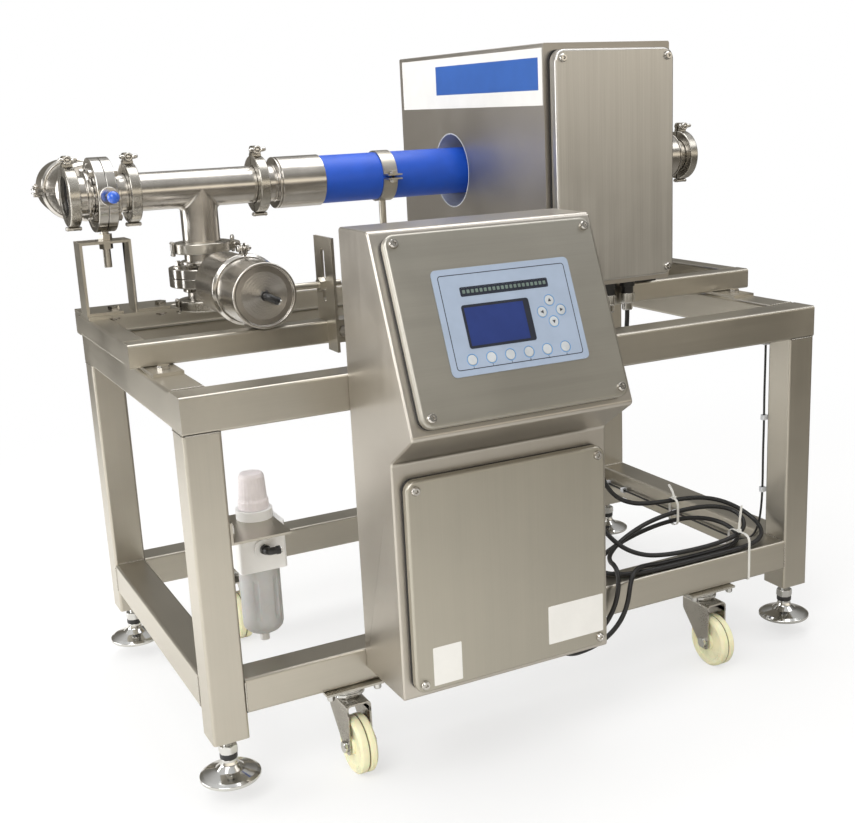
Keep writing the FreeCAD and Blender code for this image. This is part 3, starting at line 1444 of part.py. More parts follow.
def plugs():
    """The two threaded signal plugs under the head, and the cables' glands under the cabinet."""
    parts = []
    low = S.head_bottom - S.plug_length
    for index, across in enumerate(plug_places()):
        parts.append(turned(f"plug_{index}", "z", (across, S.plug_y, 0), [
            (S.plug_radius * 0.35, low), (S.plug_radius * 0.7, low),
            (S.plug_radius * 0.7, low + S.plug_length / 4),
            (S.plug_radius, low + S.plug_length / 4), (S.plug_radius, low + S.plug_length * 0.6),
            (S.plug_radius * 0.8, low + S.plug_length * 0.6), (S.plug_radius * 0.8,
                                                               low + S.plug_length * 0.8),
            (S.plug_radius, low + S.plug_length * 0.8), (S.plug_radius, S.head_bottom),
            (S.plug_radius * 0.6, S.head_bottom), (S.plug_radius * 0.6, S.head_bottom + 2 * S.head_wall),
            (S.plug_radius * 0.35, S.head_bottom + 2 * S.head_wall)]))
    for name in ("first", "second"):
        across, deep, height = ROUTES[name][-1]
        parts.append(ring(f"gland_{name}", "z", (across, deep, height - S.gland_length), S.gland_radius,
                          S.gland_bore, S.gland_length))
    node("signal_plugs", *parts)


# Control cabinet


def inset(points, step):
    """Move each edge of a counter-clockwise outline inward by a step."""
    normals = []
    for index, start in enumerate(points):
        end = points[(index + 1) % len(points)]
        run, rise = Size.of(end[0]) - start[0], Size.of(end[1]) - start[1]
        length = (run * run + rise * rise).root()
        normals.append((-rise / length, run / length))
    moved = []
    for index, (across, up) in enumerate(points):
        before, after = normals[index - 1], normals[index]
        share = step / (1 + (before[0] * after[0] + before[1] * after[1]))
        moved.append((across + share * (before[0] + after[0]), up + share * (before[1] + after[1])))
    return moved


def cabinet_shell():
    """The folded cabinet with its sloped face, cut open behind both doors."""
    wall = S.cabinet_wall
    corners = [(Size.of(0), S.cabinet_bottom), (Size.of(0), S.cabinet_top), (-S.top_depth, S.cabinet_top),
               (-S.lip_depth, S.lip_z), (-S.cabinet_depth, S.cabinet_waist),
               (-S.cabinet_depth, S.cabinet_bottom)]
    outside = plate("cabinet_block", (S.cabinet_x, 0, 0), corners, S.cabinet_width)
    inside = plate("cabinet_inside", (S.cabinet_x + wall, 0, 0), inset(corners, wall),
                   S.cabinet_width - 2 * wall)
    node("cabinet_shell", cut("cabinet_box", outside, inside, *face_opening(UPPER, wall),
                              *face_opening(LOWER, wall)))


def panel_block(name, across, up, width, height, low, thickness, margin=Size.of(0)):
    """Make a block on the upper door, centred at a place across and up the face."""
    return box(name, (across - width / 2 + margin, up - height / 2 + margin, low),
               (width - 2 * margin, height - 2 * margin, thickness))


door_front = S.gasket_thickness + S.door_depth
WINDOWS = {"screen": (S.screen_shift, S.screen_rise, S.screen_width, S.screen_height),
           "lamps": (Size.of(0), S.lamp_rise, S.lamp_width, S.lamp_height)}


def doors():
    """The upper door with its two windows, and the plain lower door."""
    frame = S.cover_skin
    holes = [panel_block(f"{name}_hole", *spot, door_front - S.cover_skin, S.cover_skin, frame)
             for name, spot in WINDOWS.items()]
    node("upper_door", cover_pan(UPPER, *holes))
    node("lower_door", cover_pan(LOWER))


def key_places():
    """Return each key's place across and up the upper door."""
    places = {}
    for name, side, rise in (("left", -1, 0), ("right", 1, 0), ("up", 0, 1), ("down", 0, -1)):
        places[name] = (S.arrow_shift + S.arrow_spread * side, S.arrow_rise + S.arrow_spread * rise)
    for number in range(1, 7):
        places[str(number)] = (S.key_row_shift + S.key_pitch * (number - 3.5), S.key_row_rise)
    return places


def membrane_panel():
    """The membrane sheet with holes for the keys and for both windows."""
    blank = panel_block("membrane_blank", S.panel_shift, S.panel_rise, S.panel_width, S.panel_height,
                        door_front, S.panel_thickness)
    sheet_body = rounded("membrane_sheet", blank, S.panel_corner, Z_AXIS)
    tools = [panel_block(f"membrane_{name}", *spot, door_front, S.panel_thickness)
             for name, spot in WINDOWS.items()]
    for name, (across, up) in key_places().items():
        tools.append(cylinder(f"key_hole_{name}", "z", (across, up, door_front),
                              S.key_radius + S.key_play, S.panel_thickness))
    node("membrane_panel", UPPER.carry(cut("membrane", sheet_body, *tools)))


def display_windows():
    """The clear pane of the screen and the strip over the signal lamps."""
    node("display_windows", *[UPPER.carry(panel_block(f"pane_{name}", *spot, door_front, S.panel_thickness))
                              for name, spot in WINDOWS.items()])


def keys():
    """Ten round keys, each free to be pressed into the panel."""
    for name, (across, up) in key_places().items():
        key = cylinder(f"key_disc_{name}", "z", (across, up, door_front + S.key_float), S.key_radius,
                       S.key_thickness)
        node(f"key_{name}", UPPER.carry(key))


def control_boards():
    """The display module, the lamp strip, and the boards on the cabinet's back wall."""
    parts = []
    depth = door_front - S.gasket_thickness
    for name, spot in WINDOWS.items():
        parts.append(UPPER.carry(panel_block(f"{name}_module", *spot, S.gasket_thickness, depth,
                                             S.cover_skin)))
    wall = S.cabinet_wall
    mount = wall * 2
    left = S.cabinet_x + 2 * S.landing
    width = S.cabinet_width - 4 * S.landing
    low = S.cabinet_bottom + 2 * S.landing
    height = S.cabinet_waist - low
    parts.append(box("mounting_plate", (left, -wall - mount, low), (width, mount, height)))
    block = S.cabinet_depth / 3
    for name, up, across in (("power_supply", 0.05, 0.08), ("valve_block", 0.05, 0.55),
                             ("main_board", 0.4, 0.08), ("terminals", 0.75, 0.08)):
        share = 0.84 if name in ("main_board", "terminals") else 0.36
        parts.append(box(name, (left + width * across, -wall - mount - block, low + height * up),
                         (width * share, block, height * 0.2)))
    node("control_boards", *parts)


# Air supply


def filter_parts():
    """The regulator body with its port and bracket, the bowl, the knob and the drain."""
    x, y = S.filter_x, S.filter_y
    low = S.filter_body_bottom
    top = low + S.filter_body_height
    width, depth = S.filter_body_width, S.filter_body_depth
    thick = S.filter_bracket_thickness
    neck = S.collar_radius * 0.6
    block = rounded("filter_block", box("filter_blank", (x - width / 2, y - depth / 2, low),
                                        (width, depth, S.filter_body_height)), S.cover_corner / 3, Z_AXIS)
    hub = turned("filter_neck", "z", (x, y, 0), [
        (0, top), (neck, top), (neck, top + thick), (S.collar_radius, top + thick),
        (S.collar_radius, top + thick + S.collar_height), (S.regulator_stem_radius,
                                                           top + thick + S.collar_height),
        (S.regulator_stem_radius, top + thick + S.collar_height * 2), (0, top + thick + S.collar_height * 2)])
    port = cylinder("filter_port", "-y", (x, y - depth / 2, low + S.filter_body_height / 2),
                    S.collar_height, S.cover_corner / 3)
    element = cylinder("filter_element", "-z", (x, y, low), S.element_radius, S.element_length)
    node("filter_body", join("filter_solid", block, hub, port, element))
    end = low - S.bowl_length
    wall = S.bowl_wall
    node("filter_bowl", turned("bowl", "z", (x, y, 0), [
        (S.bowl_radius, low), (S.bowl_radius, end + wall * 4), (S.bowl_radius * 0.6, end),
        (S.drain_radius * 0.5 + S.shaft_play, end), (S.drain_radius * 0.5 + S.shaft_play, end + wall),
        (S.bowl_radius * 0.6 - wall / 2, end + wall), (S.bowl_radius - wall, end + wall * 4),
        (S.bowl_radius - wall, low)]))
    gap = S.foot_stud_play
    node("filter_drain", turned("drain", "z", (x, y, 0), [
        (0, end - gap - S.drain_height), (S.drain_radius, end - gap - S.drain_height),
        (S.drain_radius, end - gap), (S.drain_radius * 0.5, end - gap),
        (S.drain_radius * 0.5, end + wall * 2),
        (0, end + wall * 2)]))
    start = top + thick + S.collar_height + gap
    knob_top = start + S.regulator_knob_height
    bore = S.regulator_stem_radius + S.shaft_play
    node("regulator_knob", turned("knob", "z", (x, y, 0), [
        (bore, start), (S.regulator_knob_radius, start), (S.regulator_knob_radius, start + S.collar_height),
        (S.regulator_knob_top_radius, knob_top - wall), (S.regulator_knob_top_radius - wall, knob_top),
        (0, knob_top), (0, start + S.regulator_knob_height / 2),
        (bore, start + S.regulator_knob_height / 2)]))


def elbow(name, axis, at, direction):
    """An air elbow: a hexagon nut, a short neck and a side branch with an open end."""
    reach = S.lug_height
    sign = -1 if axis.startswith("-") else 1
    index = "xyz".index(axis[-1])
    corner = list(at)
    corner[index] = corner[index] + reach * sign
    side = S.swing_bolt_radius * 2
    solid = join(f"{name}_solid", hexagon(f"{name}_nut", axis, at, side * 1.3, reach / 2),
                 cylinder(f"{name}_neck", axis, at, side * 0.8, reach), sphere(f"{name}_turn", corner, side),
                 cylinder(f"{name}_arm", direction, corner, side, reach * 1.2))
    return cut(name, solid, cylinder(f"{name}_bore", direction, corner, side / 2, reach * 1.3))


def air_fittings():
    """The push-in elbows on both actuators and on the regulator."""
    parts = []
    end = S.actuator_end - S.actuator_recess
    for name, (flow, at, shaft) in VALVES.items():
        sign = -1 if shaft == "-y" else 1
        parts.append(elbow(f"elbow_{name}", shaft, (at[0], at[1] + end * sign, at[2]), "x"))
    parts.append(elbow("elbow_filter", "-y",
                       (S.filter_x, S.filter_y - S.filter_body_depth / 2 - S.cover_corner / 3,
                        S.filter_body_bottom + S.filter_body_height / 2), "x"))
    node("air_fittings", *parts)


# Cables: round tubes on straight runs joined by bends that meet them smoothly


def cable(name, radius, points):
    """Sweep a round section along points given in the base frame's own millimetres."""
    places = [Vector(*point) for point in points]
    edges, here = [], places[0]
    for before, corner, after in zip(places, places[1:], places[2:]):
        first, second = corner - before, after - corner
        reach = 0.45 * min(first.Length, second.Length)
        turn = first.getAngle(second)
        first.normalize()
        second.normalize()
        bend = reach / math.tan(turn / 2)
        inward = (second - first).normalize()
        enter, leave = corner - first * reach, corner + second * reach
        middle = corner + inward * (bend / math.cos(turn / 2) - bend)
        edges.append(Part.makeLine(here, enter))
        edges.append(Part.Arc(enter, middle, leave).toShape())
        here = leave
    edges.append(Part.makeLine(here, places[-1]))
    section = Part.Wire(Part.makeCircle(radius, places[0], places[1] - places[0]))
    thing = doc.addObject("Part::Feature", name)
    thing.Shape = Part.Wire(edges).makePipeShell([section], True, False)
    return thing


CABLE_RADII = {"first": 4.5, "second": 4.5, "clipped": 2.25}
ROUTES = {
    "first": [(908, 212, 679), (908, 211, 655), (900, 208, 618), (876, 202, 560), (848, 194, 500),
              (820, 180, 440), (800, 156, 382), (794, 122, 332), (802, 86, 288), (824, 56, 256),
              (862, 36, 238), (908, 26, 233), (960, 24, 231), (1022, 26, 230), (1080, 32, 233),
              (1116, 46, 240), (1132, 70, 252), (1124, 94, 264), (1096, 110, 272), (1050, 118, 276),
              (990, 120, 275), (930, 117, 268), (878, 108, 256), (836, 93, 245), (806, 71, 238),
              (792, 46, 237), (783, 22, 242), (777, 2, 238), (771, -11, 222), (765, -16, 198),
              (755, -17, 172), (738, -15.5, 147), (714, -17, 128), (688, -20, 119), (664, -22, 120),
              (645, -23, 131), (636, -24, 150), (636, -24, 179)],
    "second": [(952, 212, 679), (952, 212, 655), (948, 214, 615), (932, 214, 570), (908, 212, 515),
              (884, 206, 455), (868, 196, 400), (866, 180, 352), (882, 160, 318), (914, 144, 302),
              (958, 137, 297), (1010, 134, 295), (1062, 130, 292), (1108, 118, 282), (1142, 94, 264),
              (1158, 62, 244), (1152, 32, 228), (1122, 15, 219), (1078, 9, 217), (1020, 8, 217),
              (955, 8, 217), (890, 9, 217), (835, 13, 217), (796, 26, 217), (776, 52, 217.5),
              (784, 84, 219), (816, 110, 224), (866, 126, 234), (925, 133, 245), (985, 135, 252),
              (1040, 132, 252), (1082, 120, 246), (1108, 98, 236), (1114, 72, 226), (1100, 46, 219),
              (1068, 30, 217), (1015, 26, 217), (960, 26, 217), (912, 26, 218), (884, 25, 219),
              (856, 20, 225), (830, 8, 230.5), (808, -5, 228), (794, -15, 212), (783, -24, 186),
              (768, -29, 160), (744, -33, 139), (714, -37, 126), (680, -41, 121), (646, -45, 122),
              (622, -46, 133), (612, -46, 150), (612, -46, 179)],
    "clipped": [(1177, 64.5, 606), (1177, 64.5, 560), (1176.5, 65, 500), (1177, 64.5, 440),
              (1176.5, 65, 380), (1177, 64.5, 320), (1176.5, 66, 270), (1176, 72, 230), (1175, 86, 200),
              (1174, 112, 182), (1173.5, 150, 177), (1173, 200, 176.5), (1173.5, 260, 177),
              (1173, 320, 176.5), (1173.5, 380, 177), (1173, 440, 176.5), (1173.5, 500, 177),
              (1173, 550, 176.5), (1173.5, 590, 177), (1173.5, 610, 177)],
}


def cables():
    """The head's two signal cables with their spare loops, and the thin cable along the right side."""
    node("cables", *[cable(name, CABLE_RADII[name], route) for name, route in ROUTES.items()])


def tied(name, low, size, skin):
    """A square band: a block with its middle taken out along X."""
    hole = [low[0], low[1] + skin, low[2] + skin]
    inner = [size[0], size[1] - 2 * skin, size[2] - 2 * skin]
    return cut(name, box(f"{name}_outer", low, size), box(f"{name}_inner", hole, inner))


def cable_ties():
    """The ties round the spare loops, and the clips and end blocks of the thin cable."""
    parts = [tied("tie_rail", (1086, -1.4, 150.6), (5, 62.8, 92.4), 1.2),
             tied("tie_loops", (1000, 113.4, 245.9), (5, 27.4, 55.7), 1.2)]
    for index, deep in enumerate((140, 340, 540)):
        block = box(f"clip_{index}_block", (1168, deep, 171), (12, 10, 12))
        hole = box(f"clip_{index}_hole", (1169.5, deep, 172.5), (8, 10, 9))
        parts.append(cut(f"clip_{index}", block, hole))
    for index, height in enumerate((300, 450)):
        block = box(f"leg_clip_{index}_block", (1171, 60, height), (15, 10, 10))
        hole = box(f"leg_clip_{index}_hole", (1172.5, 60.8, height), (8, 7.6, 10))
        parts.append(cut(f"leg_clip_{index}", block, hole))
    top = box("top_block_solid", (1170, 60, 602), (18, 12, 12))
    parts.append(cut("top_block", top, cylinder("top_block_hole", "z", (1177, 64.5, 602), 2.4, 5)))
    rear = box("rear_block_solid", (1168, 606, 171), (12, 12, 12))
    parts.append(cut("rear_block", rear, cylinder("rear_block_hole", "y", (1173.5, 606, 177), 2.4, 5)))
    node("cable_ties", *parts)


def check_all():
    """Stop at any object that failed and any sub-part without a sound shape."""
    for thing in doc.Objects:
        if "Invalid" in thing.State or "Error" in thing.State:
            raise RuntimeError(f"{thing.Label} failed: {thing.State}")
    for thing in nodes:
        if thing.Shape.isNull() or not thing.Shape.isValid():
            raise RuntimeError(f"{thing.Label} has no valid shape")


def main():
    for build in (base_legs, base_rails, levelling_feet, caster_plates, subframe, ferrules, tee, product_pipe,
                  clamps, valve_bodies, seals, valve_discs, actuator_housings, actuator_clamps, pistons,
                  frame_bolts, support_brackets, cover_screws, head_shell, head_liner, head_coils, head_cover,
                  plugs, cabinet_shell, doors, membrane_panel, display_windows, keys, control_boards,
                  filter_parts, air_fittings, cables, cable_ties):
        build()
    for corner, (across, deep) in caster_places.items():
        caster(corner, across, deep)
    doc.recompute()
    check_all()
    os.makedirs("parts", exist_ok=True)
    for thing in nodes:
        thing.Shape.exportStep(os.path.join("parts", f"{thing.Label}.step"))
        extent = thing.Shape.BoundBox
        print(f"{thing.Label:26s} {len(thing.Shape.Solids):3d} solids  "
              f"x {extent.XMin:8.1f} {extent.XMax:8.1f}  y {extent.YMin:8.1f} {extent.YMax:8.1f}  "
              f"z {extent.ZMin:8.1f} {extent.ZMax:8.1f}")


main()
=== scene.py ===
"""Dresses a pipeline metal detector: its steelwork, product line, detecting head, cabinet and air filter.

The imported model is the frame. Each sub-assembly below is a class that builds its surfaces with numpy,
in millimetres from the base frame's left front floor corner, and dresses them and the carried-over nodes.
"""
from __future__ import annotations

import json
import logging
import math
from dataclasses import dataclass, field
from enum import Enum
from typing import Callable, Iterable, Sequence

import bmesh
import bpy
import numpy as np
from mathutils import Matrix, Vector

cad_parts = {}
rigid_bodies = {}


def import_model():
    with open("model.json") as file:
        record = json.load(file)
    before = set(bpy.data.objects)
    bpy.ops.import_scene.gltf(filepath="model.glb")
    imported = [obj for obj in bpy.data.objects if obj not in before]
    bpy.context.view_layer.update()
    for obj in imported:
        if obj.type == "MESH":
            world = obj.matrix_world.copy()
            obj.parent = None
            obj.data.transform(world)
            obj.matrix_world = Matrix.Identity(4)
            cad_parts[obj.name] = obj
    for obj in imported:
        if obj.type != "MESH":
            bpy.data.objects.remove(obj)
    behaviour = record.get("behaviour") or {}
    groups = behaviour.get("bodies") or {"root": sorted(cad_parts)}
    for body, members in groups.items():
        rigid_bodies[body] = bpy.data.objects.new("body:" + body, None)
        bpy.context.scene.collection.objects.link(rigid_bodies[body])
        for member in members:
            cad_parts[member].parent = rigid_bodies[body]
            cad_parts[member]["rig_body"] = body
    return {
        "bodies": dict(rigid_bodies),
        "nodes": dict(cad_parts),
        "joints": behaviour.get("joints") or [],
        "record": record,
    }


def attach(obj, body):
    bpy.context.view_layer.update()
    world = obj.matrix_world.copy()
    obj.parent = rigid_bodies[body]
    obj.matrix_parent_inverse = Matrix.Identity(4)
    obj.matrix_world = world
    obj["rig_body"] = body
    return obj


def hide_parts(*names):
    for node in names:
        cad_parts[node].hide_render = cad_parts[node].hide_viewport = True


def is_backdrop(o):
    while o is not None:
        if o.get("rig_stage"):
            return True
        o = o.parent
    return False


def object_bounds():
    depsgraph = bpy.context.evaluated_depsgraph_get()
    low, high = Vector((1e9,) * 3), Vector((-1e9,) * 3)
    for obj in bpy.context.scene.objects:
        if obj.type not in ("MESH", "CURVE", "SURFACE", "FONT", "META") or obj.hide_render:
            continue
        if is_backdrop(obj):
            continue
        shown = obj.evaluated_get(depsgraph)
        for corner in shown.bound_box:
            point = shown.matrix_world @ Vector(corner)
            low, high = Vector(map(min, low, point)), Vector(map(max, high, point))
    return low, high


LOG = logging.getLogger("metal_detector")
ORIGIN = np.array([661.9, 344.5, 0.0])
PIPE_Y, PIPE_Z = 562.0, 948.0
VALVE_X = 37.0
BRANCH_X = 216.0
REJECT_Z = 784.0
MACHINE = "machine"

Colour = tuple[float, float, float]
Array = np.ndarray


def row(points: Array | Sequence[float]) -> Array:
    """Turn base-frame millimetres into row-frame metres.

    Args:
        points: Coordinates whose last axis is x, y, z.

    Returns:
        The same points in metres from the row's origin.
    """
    return (np.asarray(points, dtype=float) - ORIGIN) / 1000.0


# Shader maths


class Value:
    """A shader value that takes Python's operators and adds the Math nodes they need."""

    def __init__(self, paint: "Paint", socket: bpy.types.NodeSocket) -> None:
        """Keep the paint that owns the nodes, and the socket that gives the value."""
        self.paint = paint
        self.socket = socket

    def maths(self, operation: str, *others: "Value | float") -> "Value":
        """Add one Math node.

        Args:
            operation: The node's operation.
            others: The second and third operands.

        Returns:
            The result as a value.
        """
        inputs = {0: self, **{index + 1: other for index, other in enumerate(others)}}
        return self.paint.value("ShaderNodeMath", {"operation": operation}, inputs)

    def __add__(self, other: "Value | float") -> "Value":
        """Return the sum."""
        return self.maths("ADD", other)

    def __sub__(self, other: "Value | float") -> "Value":
        """Return the difference."""
        return self.maths("SUBTRACT", other)

    def __rsub__(self, other: float) -> "Value":
        """Return a number less this value."""
        return (self * -1.0) + other

    def __mul__(self, other: "Value | float") -> "Value":
        """Return the product."""
        return self.maths("MULTIPLY", other)

    def __truediv__(self, other: "Value | float") -> "Value":
        """Return the quotient."""
        return self.maths("DIVIDE", other)

    def __pow__(self, other: "Value | float") -> "Value":
        """Return the power."""
        return self.maths("POWER", other)

    def __gt__(self, other: "Value | float") -> "Value":
        """Return 1 where this value is greater, else 0."""
        return self.maths("GREATER_THAN", other)

    __radd__ = __add__
    __rmul__ = __mul__

    def size(self) -> "Value":
        """Return the absolute value."""
        return self.maths("ABSOLUTE")

    def between(self, low: float, high: float) -> "Value":
        """Return a smooth step from 0 at low to 1 at high."""
        return self.paint.value("ShaderNodeMapRange", {"interpolation_type": "SMOOTHSTEP"},
                                {"Value": self, "From Min": low, "From Max": high})


class Paint:
    """One material under construction."""

    def __init__(self, name: str) -> None:
        """Start an empty node material."""
        self.material = bpy.data.materials.new(name)
        self.material.use_nodes = True
        self.tree = self.material.node_tree
        self.tree.nodes.clear()
        self.shader = self.node("ShaderNodeBsdfPrincipled")
        self.output = self.node("ShaderNodeOutputMaterial", {}, {"Surface": self.shader.outputs[0]})
        self.place = self.node("ShaderNodeTexCoord").outputs["Object"]

    def node(self, kind: str, settings: dict | None = None, inputs: dict | None = None) -> bpy.types.Node:
        """Add a node.

        Args:
            kind: The node's type.
            settings: Properties, which are set first.
            inputs: Values or links by socket name or index.

        Returns:
            The new node.
        """
        made = self.tree.nodes.new(kind)
        for key, setting in (settings or {}).items():
            if key == "stops":
                ramp = made.color_ramp
                while len(ramp.elements) < len(setting):
                    ramp.elements.new(0.5)
                for element, (position, colour) in zip(ramp.elements, setting):
                    element.position = position
                    element.color = (*colour, 1.0)
            else:
                setattr(made, key, setting)
        for key, given in (inputs or {}).items():
            socket = made.inputs[key]
            if isinstance(given, Value):
                self.tree.links.new(given.socket, socket)
            elif isinstance(given, bpy.types.NodeSocket):
                self.tree.links.new(given, socket)
            elif isinstance(given, tuple) and len(given) == 3 and socket.type == "RGBA":
                socket.default_value = (*given, 1.0)
            else:
                socket.default_value = given
        return made

    def value(self, kind: str, settings: dict, inputs: dict, output: int | str = 0) -> Value:
        """Add a node and return one of its outputs as a value."""
        return Value(self, self.node(kind, settings, inputs).outputs[output])

    def stretched(self, scale: tuple[float, float, float]) -> bpy.types.NodeSocket:
        """Return object coordinates multiplied by a scale per axis."""
        return self.node("ShaderNodeVectorMath", {"operation": "MULTIPLY"},
                         {0: self.place, 1: scale}).outputs[0]

    def noise(self, scale: tuple[float, float, float] | float, detail: float = 2.0, rough: float = 0.5) -> Value:
        """Return fractal noise on object coordinates.

        Args:
            scale: Cells per metre, alike or per axis.
            detail: Octaves.
            rough: Weight of each finer octave.

        Returns:
            Noise from 0 to 1.
        """
        spread = (scale,) * 3 if isinstance(scale, (int, float)) else scale
        return self.value("ShaderNodeTexNoise", {}, {"Vector": self.stretched(spread), "Scale": 1.0,
                                                     "Detail": detail, "Roughness": rough}, "Fac")

    def axis(self, name: str) -> Value:
        """Return one object coordinate."""
        return self.value("ShaderNodeSeparateXYZ", {}, {0: self.place}, name)

    def mix(self, share: Value | float, first: Colour | bpy.types.NodeSocket,
            second: Colour | bpy.types.NodeSocket) -> bpy.types.NodeSocket:
        """Return a colour between two colours."""
        return self.node("ShaderNodeMix", {"data_type": "RGBA"}, {0: share, 6: first, 7: second}).outputs[2]

    def bump(self, height: Value, strength: float, distance: float) -> None:
        """Raise the surface by a height."""
        made = self.node("ShaderNodeBump", {}, {"Height": height, "Strength": strength, "Distance": distance})
        self.tree.links.new(made.outputs[0], self.shader.inputs["Normal"])

    def set(self, **sockets: object) -> "Paint":
        """Set or link the main shader's sockets, named with underscores for blanks."""
        for key, given in sockets.items():
            socket = self.shader.inputs[key.replace("_", " ").title().replace("Ior", "IOR")]
            if isinstance(given, Value):
                self.tree.links.new(given.socket, socket)
            elif isinstance(given, bpy.types.NodeSocket):
                self.tree.links.new(given, socket)
            elif isinstance(given, tuple) and len(given) == 3:
                socket.default_value = (*given, 1.0)
            else:
                socket.default_value = given
        return self


def shade(colour: Colour, factor: float) -> Colour:
    """Return a colour made darker or lighter by a factor."""
    return tuple(min(1.0, part * factor) for part in colour)


class Grain(Enum):
    """The direction that a steel surface was brushed in."""

    ACROSS = "x"
    DEEP = "y"
    UPRIGHT = "z"
    RAILS = "rails"


@dataclass(frozen=True)
class Brushed:
    """Satin stainless steel with fine brush marks and faint handling smears."""

    name: str
    grain: Grain
    tint: Colour = (0.480, 0.452, 0.396)
    roughness: float = 0.28
    depth: float = 0.10
    mask_edge: float = 0.0

    def marks(self, paint: Paint, along: str) -> Value:
        """Return brush marks that run along one axis.

        Args:
            paint: The material.
            along: The axis the marks run on.

        Returns:
            Streaks from 0 to 1.
        """
        fine = tuple(5.0 if axis == along else 620.0 for axis in "xyz")
        broad = tuple(1.6 if axis == along else 95.0 for axis in "xyz")
        return paint.noise(fine, 3.0, 0.65) * 0.6 + paint.noise(broad, 2.0, 0.5) * 0.4

    def make(self) -> bpy.types.Material:
        """Build the material."""
        paint = Paint(self.name)
        if self.grain is Grain.RAILS:
            side = (paint.axis("X") + self.mask_edge).size() > 0.558
            streak = self.marks(paint, "y") * side + self.marks(paint, "x") * (1.0 - side)
        else:
            streak = self.marks(paint, self.grain.value)
        smear = paint.noise(3.1, 4.0, 0.6).between(0.35, 0.72)
        tone = (streak - 0.5) * (2.0 * self.depth) + smear * 0.10
        paint.set(base_color=paint.mix((tone + 0.5).between(0.0, 1.0), shade(self.tint, 0.72),
                                       shade(self.tint, 1.22)),
                  metallic=1.0, roughness=streak * 0.16 + smear * 0.07 + (self.roughness - 0.06))
        paint.bump(streak, 0.10, 0.0004)
        return paint.material


@dataclass(frozen=True)
class Polished:
    """Bright machined or polished steel."""

    name: str
    tint: Colour = (0.56, 0.54, 0.51)
    roughness: float = 0.13
    turned: bool = False
    centre: tuple[float, float] | None = None

    def make(self) -> bpy.types.Material:
        """Build the material."""
        paint = Paint(self.name)
        haze = paint.noise(14.0, 4.0, 0.6)
        if self.centre:
            fine = self.spun(paint)
            paint.bump(fine, 1.0, 0.00011)
            return paint.set(base_color=paint.mix(haze.between(0.3, 0.75), shade(self.tint, 0.9), self.tint),
                             metallic=1.0, roughness=haze * 0.08 + self.roughness).material
        fine = paint.noise((60.0, 900.0, 900.0) if self.turned else 420.0, 2.0, 0.6)
        paint.set(base_color=paint.mix(haze.between(0.3, 0.75), shade(self.tint, 0.86), shade(self.tint, 1.08)),
                  metallic=1.0, roughness=haze * 0.10 + fine * 0.07 + self.roughness - 0.05)
        paint.bump(fine, 0.05, 0.0003)
        return paint.material


    def spun(self, paint: Paint) -> Value:
        """Return turning marks: two sines of the distance from the turning centre.

        Args:
            paint: The material.

        Returns:
            Ridges from 0 to 1.
        """
        across = paint.axis("X") - self.centre[0]
        up = paint.axis("Z") - self.centre[1]
        radius = (across * across + up * up) ** 0.5
        return (radius * 5200.0).maths("SINE") * 0.3 + (radius * 9100.0).maths("SINE") * 0.2 + 0.5


@dataclass(frozen=True)
class Moulded:
    """Plastic, rubber or paint: one colour with moulding texture and faint mottling."""

    name: str
    colour: Colour
    roughness: float = 0.45
    grain: float = 900.0
    relief: float = 0.12
    mottle: float = 0.10
    coat: float = 0.0
    emission: float = 0.0
    glow: float = 0.0

    def make(self) -> bpy.types.Material:
        """Build the material."""
        paint = Paint(self.name)
        cloud = paint.noise(22.0, 3.0, 0.6)
        fine = paint.noise(self.grain, 3.0, 0.6)
        paint.set(base_color=paint.mix(cloud.between(0.3, 0.7), shade(self.colour, 1.0 - self.mottle),
                                       shade(self.colour, 1.0 + self.mottle)),
                  roughness=cloud * 0.10 + fine * 0.06 + self.roughness - 0.08, coat_weight=self.coat)
        if self.glow:
            paint.set(subsurface_weight=self.glow)
            paint.shader.inputs["Subsurface Scale"].default_value = 0.004
        if self.emission:
            paint.set(emission_color=self.colour, emission_strength=self.emission)
        paint.bump(fine, self.relief, 0.0003)
        return paint.material


@dataclass(frozen=True)
class Clear:
    """A clear or smoked plastic."""

    name: str
    colour: Colour
    transmission: float = 0.9
    roughness: float = 0.12

    def make(self) -> bpy.types.Material:
        """Build the material."""
        paint = Paint(self.name)
        haze = paint.noise(40.0, 3.0, 0.6)
        paint.set(base_color=paint.mix(haze, shade(self.colour, 0.94), self.colour),
                  roughness=haze * 0.12 + self.roughness, transmission_weight=self.transmission, ior=1.45)
        return paint.material


